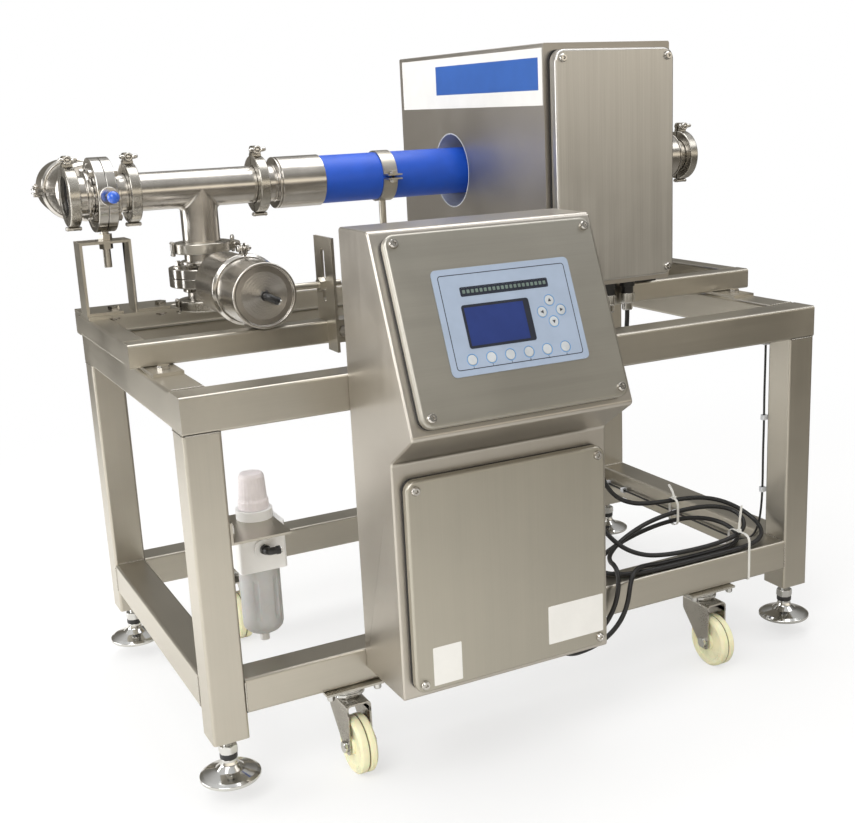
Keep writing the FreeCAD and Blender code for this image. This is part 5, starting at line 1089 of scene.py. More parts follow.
@dataclass
class Cabinet:
    """The control cabinet: folded shell, two doors and the operating panel."""

    left: float = 268.0
    width: float = 384.0
    fold: float = 7.0
    top: float = 19.0

    def shell(self) -> None:
        """Sweep the side profile across: each side edge follows a quarter arc as the profile shrinks inwards."""
        corners = [(0, 179), (0, 909), (-109, 909), (-228, 620), (-148, 567), (-148, 179)]
        outline = rounded_outline(corners, [3, 6, 9, 8, 10, 5], 6)
        tangent = np.roll(outline, -1, 0) - np.roll(outline, 1, 0)
        normal = np.stack([tangent[:, 1], -tangent[:, 0]], 1)
        normal /= np.linalg.norm(normal, axis=1, keepdims=True) + 1e-9
        arc = np.linspace(0, np.pi / 2, 5)
        inset = 3.5 * (1 - np.sin(arc))
        inset = np.concatenate([inset, inset[::-1]])
        across = np.concatenate([self.left + 3.5 * (1 - np.cos(arc)),
                                 (self.left + self.width - 3.5 * (1 - np.cos(arc)))[::-1]])
        flat = outline[None] - normal[None] * inset[:, None, None]
        points = np.concatenate([np.broadcast_to(across[:, None, None], (*flat.shape[:2], 1)), flat], -1)
        Piece("cabinet_skin").grid(points, caps=True).build(["cabinet"], replaces=["cabinet_shell"],
                                                           slot="stainless", sharp=40.0)

    def plate(self, name: str, across: float, up: float, width: float, height: float) -> None:
        """Put a bare white plate on the lower door."""
        seat = LOWER_FACE.seat(across, up, self.top)
        Piece(name).prism(seat, rectangle(width, height, 1.5, 4), -0.02, 0.7, 0.25).build(
            ["plate"], slot="grey_plastic")

    def build(self, frame: dict) -> None:
        """Build the shell, the doors and their plates."""
        self.shell()
        Cover("upper_door", "upper_door", UPPER_FACE, 14.0, "door").build()
        Cover("lower_door", "lower_door", LOWER_FACE, 14.0, "low_door").build()
        self.plate("rating_plate", 117.0, -115.0, 106.0, 66.0)
        self.plate("notice_plate", -122.0, -133.0, 50.0, 64.0)
        dressed(frame, "control_boards", "board")


@dataclass
class OperatingPanel:
    """The membrane panel with its keys, screen and lamp row."""

    top: float = 19.0
    thick: float = 1.4
    key_radius: float = 7.6

    def keys(self) -> dict[str, tuple[float, float]]:
        """Return each key's place across and up the upper door."""
        places = {name: (71.0 + 16.6 * side, 2.2 + 16.6 * rise)
                  for name, side, rise in (("left", -1, 0), ("right", 1, 0), ("up", 0, 1), ("down", 0, -1))}
        places.update({str(n): (0.8 + 32.0 * (n - 3.5), -54.8) for n in range(1, 7)})
        return places

    def key(self, name: str, place: tuple[float, float]) -> None:
        """Turn a shallow domed key and print its arrow; its coloured ring is printed with the panel."""
        seat = UPPER_FACE.seat(*place, self.top + 0.7)
        piece = Piece(f"key_{name}_cap")
        rim = self.key_radius
        dome = np.array([(0.01, 0.0), (rim, 0.0), (rim, 0.75), (rim - 0.5, 1.05), (rim - 1.6, 1.1)])
        piece.lathe(seat, dome, 40, slot=0)
        spread = np.linspace(rim - 1.6, 0.01, 8)
        crown = np.stack([spread, 1.1 + 0.25 * (1 - (spread / (rim - 1.6)) ** 2)], 1)
        piece.lathe(seat, crown, 40, slot=0)
        turn = {"right": 0.0, "up": 90.0, "left": 180.0, "down": 270.0}.get(name)
        if turn is not None:
            arrow = np.array([(3.4, 0.0), (-2.0, 2.9), (-2.0, -2.9)])
            piece.prism(seat.spun(turn), arrow, 1.22, 1.42, slot=2)
        piece.build(["key_face", "key_ring", "ink"], f"key_{name}", [f"key_{name}"], "key_blue", 50.0)

    def ring(self, piece: Piece, seat: Seat, inner: float, outer: float, low: float, high: float, slot: int) -> None:
        """Add a flat ring."""
        piece.lathe(seat, np.array([(inner, low), (outer, low), (outer, high), (inner, high)]), 40, slot, True)

    def frame_band(self, piece: Piece, seat: Seat, width: float, height: float, band: float, radius: float,
                   low: float, high: float, slot: int) -> None:
        """Add a flat rounded frame between two rectangles."""
        outer = rectangle(width, height, radius, 5)
        inner = rectangle(width - 2 * band, height - 2 * band, max(radius - band, 0.5), 5)
        rings = [(outer, low), (outer, high), (inner, high), (inner, low)]
        local = np.stack([np.concatenate([flat, np.full((len(flat), 1), z)], 1) for flat, z in rings])
        piece.grid(seat.carry(local), slot=slot, loop=True)

    def build(self, frame: dict) -> None:
        """Build the film, its border and printing, the screen, the lamps and the keys."""
        softened(frame, "membrane_panel", ["film"], 0.2)
        top = self.top + self.thick
        print_layer = Piece("panel_print")
        panel = UPPER_FACE.seat(1.5, 2.8)
        self.frame_band(print_layer, panel, 217.0, 143.0, 1.3, 5.0, top - 0.02, top + 0.10, 0)
        screen = UPPER_FACE.seat(-24.0, -5.8)
        self.frame_band(print_layer, UPPER_FACE.seat(-22.0, -5.8), 114.0, 66.0, 4.2, 4.0, top - 0.02, top + 0.3, 1)
        print_layer.prism(UPPER_FACE.seat(29.0, -5.8), rectangle(8.0, 62.0, 0.5, 3), top - 0.02, top + 0.28, slot=1)
        lamps = UPPER_FACE.seat(0.0, 47.0)
        self.frame_band(print_layer, lamps, 150.4, 14.4, 1.3, 2.5, top - 0.02, top + 0.14, 1)
        for place in self.keys().values():
            self.ring(print_layer, UPPER_FACE.seat(*place), 8.15, 9.1, top - 0.02, top + 0.12, 2)
        print_layer.build(["ink", "bezel", "key_ring"], slot="membrane", sharp=30.0)
        Piece("screen_glass").prism(screen, rectangle(101.6, 57.6, 1.0, 3), self.top - 1.2, top + 0.05).build(
            ["screen"], replaces=["display_windows"], slot="window")
        row_of_lamps = Piece("lamp_row")
        row_of_lamps.prism(lamps, rectangle(147.6, 11.6, 1.0, 3), self.top - 1.2, top + 0.02, slot=0)
        for index in range(20):
            seat = UPPER_FACE.seat(-69.0 + index * 138.0 / 19, 47.0)
            row_of_lamps.prism(seat, rectangle(4.6, 5.4, 0.8, 3), top, top + 0.5, 0.2, slot=1)
        row_of_lamps.build(["bezel", "lamp"], slot="window")
        for name, place in self.keys().items():
            self.key(name, place)
        self.numerals(top)

    def numerals(self, top: float) -> None:
        """Print plain numbers under the lower keys."""
        for number in range(1, 7):
            across, up = self.keys()[str(number)]
            curve = bpy.data.curves.new(f"digit_{number}", "FONT")
            curve.body = str(number)
            curve.size = 0.0052
            curve.extrude = 0.00006
            curve.align_x = "CENTER"
            curve.align_y = "CENTER"
            made = bpy.data.objects.new(f"digit_{number}", curve)
            bpy.context.scene.collection.objects.link(made)
            bpy.context.view_layer.update()
            mesh = bpy.data.meshes.new_from_object(made)
            bpy.data.objects.remove(made)
            points = np.empty(len(mesh.vertices) * 3)
            mesh.vertices.foreach_get("co", points)
            seat = UPPER_FACE.seat(across, up - 11.6, top + 0.08)
            placed = row(seat.carry(points.reshape(-1, 3) * 1000.0))
            mesh.vertices.foreach_set("co", placed.ravel())
            mesh.materials.clear()
            finish_mesh(f"key_number_{number}", mesh, ["ink"], MACHINE, (), 30.0, 0.0)


@dataclass
class DetectingHead:
    """The head's box, its cover, its blank sign and its plugs."""

    def build(self, frame: dict) -> None:
        """Dress the box and its liner, and build the cover, the sign and the plugs."""
        softened(frame, "head_shell", ["head"], 2.6, 30.0)
        softened(frame, "head_liner", ["liner"], 0.8)
        dressed(frame, "head_coils", "board")
        Cover("head_cover", "head_cover", HEAD_FACE, 22.0, "head_door", corner=22.0, shadow=2.6).build()
        sign = Seat((758.0, 485.0, 1123.0), ((0.0, -1.0, 0.0), (0.0, 0.0, 1.0), (-1.0, 0.0, 0.0)))
        Piece("head_sign").prism(sign, rectangle(582.0, 100.0, 1.5, 4), -0.02, 0.8, 0.3).build(
            ["plate"], slot="grey_plastic")
        inner = Seat((758.0, 411.0, 1128.5), sign.axes)
        Piece("head_sign_field").prism(inner, rectangle(408.0, 57.0, 1.0, 4), 0.78, 0.95, 0.1).build(
            ["sign_blue"], slot="blue_pipe")
        self.plugs()

    def plugs(self) -> None:
        """Turn the two plugs and the two glands: the grip's radius ripples with the angle."""

        def knurl(angle: Array, height: Array) -> Array:
            """Return the grip's factor on the radius."""
            zone = np.clip((711.5 - height) / 1.0, 0, 1) * np.clip((height - 694.0) / 1.0, 0, 1)
            return 1.0 - 0.03 * zone * (0.5 + 0.5 * np.cos(26 * angle))

        piece = Piece("signal_plugs_dressed")
        for across in (908.0, 952.0):
            seat = Seat.on("z", (across, 212.0, 0.0))
            grip = rounded_outline([(5.3, 678.0), (9.0, 678.0), (10.5, 680.5), (10.5, 692.5), (15.0, 693.5),
                                    (15.0, 712.5), (5.3, 712.5)], [0.3, 0.8, 0.8, 1.0, 1.2, 1.2, 0.3], 4)
            fill = np.linspace(695.0, 711.0, 3)
            grip = np.insert(grip, 20, np.stack([np.full(3, 15.0), fill], 1), 0)
            piece.lathe(seat, grip, 104, 0, True, knurl)
            neck = rounded_outline([(5.3, 711.0), (12.0, 711.0), (12.0, 725.0), (14.8, 725.0), (14.8, 736.0),
                                    (5.3, 736.0)], [0.3, 0.6, 0.6, 0.8, 0.8, 0.3], 4)
            piece.lathe(seat, neck, 48, 1, True)
        for across, deep in ((636.0, -24.0), (612.0, -46.0)):
            gland = rounded_outline([(4.7, 163.0), (7.0, 163.0), (9.8, 168.5), (9.8, 179.0), (4.7, 179.0)],
                                    [0.4, 1.0, 1.5, 0.4, 0.4], 4)
            piece.lathe(Seat.on("z", (across, deep, 0.0)), gland, 40, 1, True)
        piece.build(["chrome", "black"], replaces=["signal_plugs"], slot="zinc", sharp=40.0)


@dataclass
class PipeClamp:
    """A hinged two-part clamp over a pair of ferrules, closed by a swing bolt with a wing nut."""

    seat: Seat
    bolt_at: float = -64.2
    pin_at: float = 57.4

    def bands(self, piece: Piece) -> None:
        """Bend the channel section round both halves and add the two lugs."""
        section = rounded_outline([(37, -10), (54, -10), (54, 10), (37, 10), (37, 7), (46, 7), (46, -7), (37, -7)],
                                  [0.5, 2.4, 2.4, 0.5, 0.5, 0.5, 0.5, 0.5], 5)
        for start in (2.0, 182.0):
            piece.arc(self.seat, section, start, 176.0, 56)
        for low in (2.6, -11.0):
            lug = self.seat.child((-61.5, low, 0.0), "y")
            piece.prism(lug, rectangle(21.0, 15.0, 4.5, 6), 0.0, 8.4, 1.2)
            piece.prism(self.seat.child((-54.0, low + 1.2, 0.0), "y"), rectangle(9.0, 18.0, 2.0, 4), 0.0, 6.0, 0.8)

    def hardware(self, piece: Piece) -> None:
        """Turn the hinge pins, the links and the swing bolt, and spread the wings of its nut."""
        pin = rounded_outline([(0.01, -13.6), (3.4, -13.6), (3.4, 13.6), (0.01, 13.6)], [0.01, 1.4, 1.4, 0.01], 4)
        for side in (-4.5, 4.5):
            piece.lathe(self.seat.child((self.pin_at, side, 0.0)), pin, 20)
        for height in (-11.6, 10.1):
            piece.prism(self.seat.child((self.pin_at, 0.0, height)), rectangle(7.6, 17.0, 3.6, 6), 0.0, 1.5, 0.3)
        bolt = self.seat.child((self.bolt_at, 0.0, 0.0), "y")
        bar = rounded_outline([(0.01, -19.6), (3.5, -19.6), (3.5, 12.0), (0.01, 12.0)], [0.01, 0.8, 0.8, 0.01], 3)
        piece.lathe(bolt, bar, 20)
        piece.lathe(bolt, rounded_outline([(0.01, 10.6), (6.0, 10.6), (6.0, 14.8), (0.01, 14.8)],
                                          [0.01, 1.2, 1.4, 0.01], 4), 28)
        socket = rounded_outline([(4.6, -19.0), (7.2, -19.0), (8.2, -17.0), (8.2, -11.2), (3.5, -11.2), (3.5, -15.0),
                                  (4.6, -15.0)], [0.5, 0.5, 1.0, 0.5, 0.2, 0.2, 0.2], 3)
        piece.lathe(bolt, socket, 36, closed=True)
        for side in (-1.0, 1.0):
            run = np.linspace(0.0, 1.0, 9)[:, None]
            path = np.array([self.bolt_at, -15.2, side * 6.0]) + run * np.array([-1.5, -2.6, side * 10.6])
            size = 3.1 + 1.3 * np.sin(np.pi * run[:, 0] ** 0.8) * (1.0 - 0.35 * run[:, 0])
            size[-1] = 1.4
            piece.tube(self.seat.carry(path), size, 14)


@dataclass
class Valve:
    """A butterfly valve: two bolted discs, its shaft bosses and its pneumatic actuator."""

    name: str
    at: tuple[float, float, float]
    flow: str
    shaft: str

    def body(self, piece: Piece) -> None:
        """Turn the two discs with the groove between them, and the boss along the shaft."""
        for flow in (self.flow, "-" + self.flow):
            disc = rounded_outline([(34.0, 0.45), (67.0, 0.45), (67.0, 17.9), (57.0, 17.9), (56.0, 16.6), (34.0, 16.6)],
                                   [0.3, 0.9, 1.8, 0.5, 0.5, 0.3], 5)
            piece.lathe(Seat.on(flow, self.at), disc, 112, closed=True)
        boss = rounded_outline([(6.3, -75.9), (17.0, -75.9), (17.0, 75.9), (6.3, 75.9)], [0.5, 1.6, 1.6, 0.5], 5)
        piece.lathe(Seat.on("y", self.at), boss, 48, closed=True)

    def housing(self, piece: Piece) -> None:
        """Turn the actuator's body and its cup, with rolled rims and a recessed end."""
        seat = Seat.on(self.shaft, self.at)
        body = rounded_outline([(6.3, 76.1), (21.9, 76.1), (21.9, 117.0), (50.0, 118.2), (56.0, 128.0), (56.0, 243.0),
                                (58.8, 243.0), (58.8, 249.9), (52.5, 249.9), (52.5, 127.0), (6.3, 127.0)],
                               [0.3, 1.2, 1.0, 3.0, 4.0, 0.8, 0.8, 0.4, 0.4, 1.0, 0.3], 6)
        piece.lathe(seat, body, 120, closed=True)
        cup = rounded_outline([(52.5, 250.1), (58.8, 250.1), (58.8, 257.0), (56.0, 257.0), (56.0, 349.9),
                               (51.2, 349.9), (50.4, 346.1), (40.0, 346.0), (40.0, 341.5), (52.5, 341.5)],
                              [0.4, 0.4, 0.8, 0.8, 2.2, 1.8, 0.8, 0.3, 0.3, 0.8], 6)
        piece.lathe(seat, cup, 120, closed=True)
        end = np.array([(40.2, 341.6), (40.2, 346.05), (5.3, 346.05), (5.3, 341.6)])
        piece.lathe(seat, end, 120, slot=1, closed=True)

    def band(self, piece: Piece) -> None:
        """Bend the joint band's section round both halves and bolt its tabs."""
        seat = Seat.on(self.shaft, self.at).spun(0.0 if self.name == "main" else 90.0)
        section = rounded_outline([(56.2, 240.0), (58.0, 240.0), (62.6, 244.5), (62.6, 255.5), (58.0, 260.0),
                                   (56.2, 260.0), (56.2, 257.6), (59.2, 257.2), (59.2, 242.8), (56.2, 242.4)],
                                  [0.4, 1.0, 2.0, 2.0, 1.0, 0.4, 0.3, 0.3, 0.3, 0.3], 4)
        for start in (2.0, 182.0):
            piece.arc(seat, section, start, 176.0, 72)
        for across in (70.0, -70.0):
            for low in (2.5, -5.3):
                piece.prism(seat.child((across, low, 250.0), "y"), rectangle(20.0, 19.0, 6.0, 7), 0.0, 2.8, 0.7)
            bolt = seat.child((across * 1.022, 0.0, 250.0), "y")
            Foot.hexagon(piece, bolt, 5.4, 11.4, 6.6)
            Foot.hexagon(piece, bolt, -11.0, -5.4, 6.6)
            shank = rounded_outline([(0.01, -14.6), (3.2, -14.6), (3.2, 8.0), (0.01, 8.0)], [0.01, 0.9, 0.3, 0.01], 3)
            piece.lathe(bolt, shank, 20)


def air_elbow(piece: Piece, seat: Seat, degrees: float, steel: int, black: int) -> None:
    """Add a push-in elbow: a hexagon and a black arm that turns aside on a quarter arc, with a steel ring at its end.

    Args:
        piece: The piece that takes it.
        seat: Where it screws in, facing outwards.
        degrees: The arm's direction about the seat's third axis.
        steel: The steel's slot.
        black: The plastic's slot.
    """
    arm = seat.spun(degrees)
    Foot.hexagon(piece, arm, 0.1, 7.4, 8.8)
    turn = np.linspace(0.0, np.pi / 2, 9)
    bend = np.stack([8.0 * (1 - np.cos(turn)), 0 * turn, 8.6 + 8.0 * np.sin(turn)], 1)
    path = np.concatenate([[[0.0, 0.0, 6.4], [0.0, 0.0, 7.6]], bend, [[14.0, 0.0, 16.6], [14.4, 0.0, 16.6],
                                                                     [20.4, 0.0, 16.6], [20.8, 0.0, 16.6]]])
    size = np.concatenate([[5.2, 6.2], np.full(9, 6.2), [6.2, 7.1, 7.1, 6.3]])
    before = len(piece.faces)
    piece.tube(arm.carry(path), size, 24, black)
    ring = rounded_outline([(3.2, 20.0), (5.4, 20.0), (5.4, 24.0), (3.2, 24.0)], [0.3, 0.5, 1.0, 0.5], 4)
    piece.lathe(arm.child((0.0, 0.0, 16.6), "x"), ring, 24, steel, True)
    LOG.debug("elbow of %d faces", len(piece.faces) - before)


@dataclass
class ProductLine:
    """The steel line, the plastic pipe, the valves, their clamps and actuators."""

    steel: float = 35.0
    bore: float = 33.0
    flange: float = 45.5
    blend: float = 7.0
    joints: tuple[float, ...] = (-17.0, 91.0, 335.0, 1350.0)
    reject_joints: tuple[float, ...] = (838.0, 730.0)
    valves: tuple[Valve, ...] = (Valve("main", (VALVE_X, PIPE_Y, PIPE_Z), "x", "y"),
                                 Valve("reject", (BRANCH_X, PIPE_Y, REJECT_Z), "z", "-y"))

    def tee(self) -> None:
        """Join the run and the branch.

        The branch's top lies on the run, z = axis - sqrt(R squared - y squared), and a quarter arc blends them.
        """
        piece = Piece("tee_dressed")
        start, end = self.joints[1] + 1.0, self.joints[2] - 1.0
        run = rounded_outline([(self.bore, start), (self.flange, start), (self.flange, start + 6),
                               (self.steel, start + 6), (self.steel, end - 6), (self.flange, end - 6),
                               (self.flange, end), (self.bore, end)], [0.3, 0.9, 0.9, 1.0, 1.0, 0.9, 0.9, 0.3], 4)
        piece.lathe(Seat.on("x", (0.0, PIPE_Y, PIPE_Z)), run, 112, closed=True)
        angle = np.linspace(0, 2 * np.pi, 112, endpoint=False)
        turn = np.linspace(0, np.pi / 2, 8)[:, None]
        crest = PIPE_Z - np.sqrt(np.clip(self.steel ** 2 - (self.steel * np.sin(angle)) ** 2, 0, None))
        top = np.stack([(self.steel + self.blend * (1 - np.sin(turn))) * np.cos(angle),
                        self.steel * np.sin(angle) + 0 * turn, crest - self.blend * (1 - np.cos(turn))], -1)
        low = self.reject_joints[0] + 1.0
        levels = np.array([(35, 60), (35, 7), (36, 6), (44.6, 6), (45.5, 5.1), (45.5, 0.9), (44.6, 0), (33, 0)])[:, :, None]
        foot = np.stack([levels[:, 0] * np.cos(angle), levels[:, 0] * np.sin(angle), low + levels[:, 1] + 0 * angle], -1)
        inner = np.stack([self.bore * np.cos(angle), self.bore * np.sin(angle), crest], -1)[None]
        piece.grid(np.concatenate([top, foot, inner]) + np.array([BRANCH_X, PIPE_Y, 0.0]), loop=True)
        piece.build(["pipe"], replaces=["tee"], slot="polished", sharp=40.0)

    def necks(self) -> None:
        """Turn the valves' necks and the cups at the ends of the plastic pipe."""
        piece = Piece("ferrules_dressed")
        neck = rounded_outline([(33, 1), (45.5, 1), (45.5, 7), (35, 7), (35, 25), (43, 25), (43, 31), (35, 31),
                                (35, 36), (34, 36), (34, 19), (33, 19)],
                               [0.3, 0.9, 0.9, 1, 1, 1.2, 1.2, 1, 0.3, 0.3, 0.3, 0.3], 4)
        cup = rounded_outline([(33, 1), (45.5, 1), (45.5, 7), (35, 7), (35, 31), (49, 31), (49, 34), (45.5, 34),
                               (45.5, 37), (49, 37), (49, 125), (46.6, 125), (46.6, 85), (33, 85)],
                              [0.3, 0.9, 0.9, 2.5, 1.5, 1.4, 0.6, 0.4, 0.4, 1.2, 1.2, 0.4, 0.3, 0.3], 5)
        on_pipe = [("x", self.joints[0], neck), ("-x", self.joints[1], neck), ("x", self.joints[2], cup),
                   ("-x", self.joints[3], cup)]
        for axis, along, profile in on_pipe:
            piece.lathe(Seat.on(axis, (along, PIPE_Y, PIPE_Z)), profile, 112, closed=True)
        for axis, height in zip(("-z", "z"), self.reject_joints):
            piece.lathe(Seat.on(axis, (BRANCH_X, PIPE_Y, height)), neck, 112, closed=True)
        piece.build(["pipe"], replaces=["ferrules"], slot="polished", sharp=40.0)

    def fittings(self) -> None:
        """Build the clamps, the valve bodies, the actuators and their elbows."""
        bands, hardware = Piece("clamp_bands_dressed"), Piece("clamp_bolts_dressed")
        seats = [Seat.on("x", (along, PIPE_Y, PIPE_Z)) for along in self.joints]
        seats += [Seat.on("z", (BRANCH_X, PIPE_Y, height)).spun(180.0) for height in self.reject_joints]
        for seat in seats:
            PipeClamp(seat).bands(bands)
            PipeClamp(seat).hardware(hardware)
        bands.build(["cast"], replaces=["clamp_bands"], slot="polished", sharp=38.0)
        hardware.build(["bright"], replaces=["clamp_bolts"], slot="polished", sharp=45.0)
        bodies, housings, joints = Piece("valve_bodies_dressed"), Piece("actuators_dressed"), Piece("joint_bands")
        elbows = Piece("air_elbows")
        for valve in self.valves:
            valve.body(bodies)
            valve.housing(housings)
            valve.band(joints)
            seat = Seat.on(valve.shaft, valve.at).child((0.0, 0.0, 346.0))
            air_elbow(elbows, seat, -28.0 if valve.name == "reject" else 28.0, 1, 0)
        air_elbow(elbows, Seat.on("-y", (132.0, 69.0, 396.0)), 0.0, 1, 0)
        bodies.build(["bright"], replaces=["valve_bodies"], slot="polished", sharp=38.0)
        housings.build(["pipe", "spun"], replaces=["actuator_housings"], slot="polished", sharp=38.0)
        joints.build(["bright"], replaces=["actuator_clamps"], slot="polished", sharp=38.0)
        elbows.build(["black", "chrome"], replaces=["air_fittings"], slot="black_plastic", sharp=40.0)

    def build(self, frame: dict) -> None:
        """Build the line and dress what the CAD already shapes well."""
        self.tee()
        self.necks()
        self.fittings()
        pipe = rounded_outline([(35, 420.2), (46.5, 420.2), (46.5, 1264.8), (35, 1264.8)], [0.5, 0.8, 0.8, 0.5], 3)
        Piece("plastic_pipe").lathe(Seat.on("x", (0.0, PIPE_Y, PIPE_Z)), pipe, 128, closed=True).build(
            ["blue_pipe"], replaces=["product_pipe"], slot="blue_pipe")
        softened(frame, "frame_bolts", ["bright"], 0.8)
        softened(frame, "support_brackets", ["long"], 1.0)
        softened(frame, "cover_screws", ["bright"], 1.6)
        softened(frame, "seals", ["gasket"], 0.4)
        softened(frame, "main_valve_disc", ["bright", "knob_blue"], 0.5,
                 keep=lambda c: c[:, 1] < PIPE_Y - 93.0)
        softened(frame, "reject_valve_disc", ["bright"], 0.5)
        softened(frame, "main_piston", ["black"], 0.6)
        softened(frame, "reject_piston", ["black"], 0.6)


@dataclass
class AirFilter:
    """The air filter and regulator on the front left leg."""

    at: tuple[float, float] = (132.0, 108.0)

    def build(self, frame: dict) -> None:
        """Dress the body and build the fluted knob and the slotted bowl guard."""
        seat = Seat.on("z", (*self.at, 0.0))
        softened(frame, "filter_body", ["white"], 1.6)
        softened(frame, "filter_drain", ["white"], 0.8)

        def flutes(angle: Array, height: Array) -> Array:
            """Return grip flutes that fade near the top: 1 less a cosine of 24 turns."""
            fade = np.clip((512.0 - height) / 6.0, 0, 1) * np.clip((height - 457.5) / 2.0, 0, 1)
            return 1.0 - 0.025 * (0.5 + 0.5 * np.cos(24 * angle)) * fade

        knob = rounded_outline([(6.1, 456.4), (25.0, 456.4), (25.0, 470.0), (23.0, 474.0), (21.0, 510.0),
                                (18.0, 516.0), (0.01, 516.2), (0.01, 490.0), (6.1, 490.0)],
                               [0.2, 1, 1.5, 2, 2, 2.5, 0.001, 0.001, 0.2], 6)
        Piece("regulator_cap").lathe(seat, knob, 192, closed=True, shape=flutes).build(
            ["pink"], "regulator_knob", ["regulator_knob"], "grey_plastic", 45.0)

        def ribs(angle: Array, height: Array) -> Array:
            """Return the guard's upright slots, six round the bowl."""
            zone = np.clip((342.0 - height) / 4.0, 0, 1) * np.clip((height - 268.0) / 4.0, 0, 1)
            return 1.0 - 0.05 * zone * (0.5 + 0.5 * np.tanh(9 * (np.cos(6 * angle) - 0.72)))

        heights = np.linspace(350.0, 262.0, 40)
        wall = np.stack([np.full(40, 33.9), heights], 1)
        bowl = np.concatenate([[(30.9, 355.9), (33.2, 355.9), (33.9, 355.2)], wall,
                               [(33.6, 256.0), (32.0, 250.0), (27.0, 244.4), (20.0, 240.4), (6.0, 240.1),
                                (4.3, 240.1), (4.3, 243.2), (19.0, 243.4), (25.5, 247.0), (30.2, 254.0)]])
        Piece("filter_guard").lathe(seat, bowl, 192, closed=True, shape=ribs).build(
            ["grey"], replaces=["filter_bowl"], slot="grey_plastic", sharp=60.0)


ROUTES = {
    "first": [(908, 212, 679), (908, 211, 655), (900, 208, 618), (876, 202, 560), (848, 194, 500),
              (820, 180, 440), (800, 156, 382), (794, 122, 332), (802, 86, 288), (824, 56, 256),
              (862, 36, 238), (908, 26, 233), (960, 24, 231), (1022, 26, 230), (1080, 32, 233),
              (1116, 46, 240), (1132, 70, 252), (1124, 94, 264), (1096, 110, 272), (1050, 118, 276),
              (990, 120, 275), (930, 117, 268), (878, 108, 256), (836, 93, 245), (806, 71, 238),
              (792, 46, 237), (783, 22, 242), (777, 2, 238), (771, -11, 222), (765, -16, 198),
              (755, -17, 172), (738, -15.5, 147), (714, -17, 128), (688, -20, 119), (664, -22, 120),
              (645, -23, 131), (636, -24, 150), (636, -24, 179)],
    "second": [(952, 212, 679), (952, 212, 655), (948, 214, 615), (932, 214, 570), (908, 212, 515),
              (884, 206, 455), (868, 196, 400), (866, 180, 352), (882, 160, 318), (914, 144, 302),
              (958, 137, 297), (1010, 134, 295), (1062, 130, 292), (1108, 118, 282), (1142, 94, 264),
              (1158, 62, 244), (1152, 32, 228), (1122, 15, 219), (1078, 9, 217), (1020, 8, 217),
              (955, 8, 217), (890, 9, 217), (835, 13, 217), (796, 26, 217), (776, 52, 217.5),
              (784, 84, 219), (816, 110, 224), (866, 126, 234), (925, 133, 245), (985, 135, 252),
              (1040, 132, 252), (1082, 120, 246), (1108, 98, 236), (1114, 72, 226), (1100, 46, 219),
              (1068, 30, 217), (1015, 26, 217), (960, 26, 217), (912, 26, 218), (884, 25, 219),
              (856, 20, 225), (830, 8, 230.5), (808, -5, 228), (794, -15, 212), (783, -24, 186),
              (768, -29, 160), (744, -33, 139), (714, -37, 126), (680, -41, 121), (646, -45, 122),
              (622, -46, 133), (612, -46, 150), (612, -46, 179)],
    "clipped": [(1177, 64.5, 606), (1177, 64.5, 560), (1176.5, 65, 500), (1177, 64.5, 440),
              (1176.5, 65, 380), (1177, 64.5, 320), (1176.5, 66, 270), (1176, 72, 230), (1175, 86, 200),
              (1174, 112, 182), (1173.5, 150, 177), (1173, 200, 176.5), (1173.5, 260, 177),
              (1173, 320, 176.5), (1173.5, 380, 177), (1173, 440, 176.5), (1173.5, 500, 177),
              (1173, 550, 176.5), (1173.5, 590, 177), (1173.5, 610, 177)],
}


@dataclass
class Cables:
    """The two signal cables with their spare loops, and the thin cable along the right low rail."""

    diameters: dict[str, float] = field(default_factory=lambda: {"first": 9.0, "second": 9.0, "clipped": 4.5})
    lengths: dict[str, float] = field(default_factory=lambda: {"first": 1.518, "second": 2.160, "clipped": 0.93})

    def build(self, frame: dict) -> None:
        """Draw each cable as one smooth spline through its route."""
        for name, route in ROUTES.items():
            curve = bpy.data.curves.new(f"cable_{name}", "CURVE")
            curve.dimensions = "3D"
            spline = curve.splines.new("NURBS")
            spline.points.add(len(route) - 1)
            places = np.concatenate([row(route), np.ones((len(route), 1))], 1)
            spline.points.foreach_set("co", places.ravel())
            spline.order_u = 3
            spline.use_endpoint_u = True
            spline.resolution_u = 8
            curve.bevel_depth = self.diameters[name] / 2000.0
            curve.bevel_resolution = 5
            curve.use_fill_caps = True
            curve.materials.append(FINISH["cable"])
            piece = bpy.data.objects.new(f"cable_{name}", curve)
            bpy.context.scene.collection.objects.link(piece)
            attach(piece, MACHINE)
            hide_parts("cables")
            row(route[0]).tolist()
            self.lengths[name]
            self.diameters[name] / 1000.0


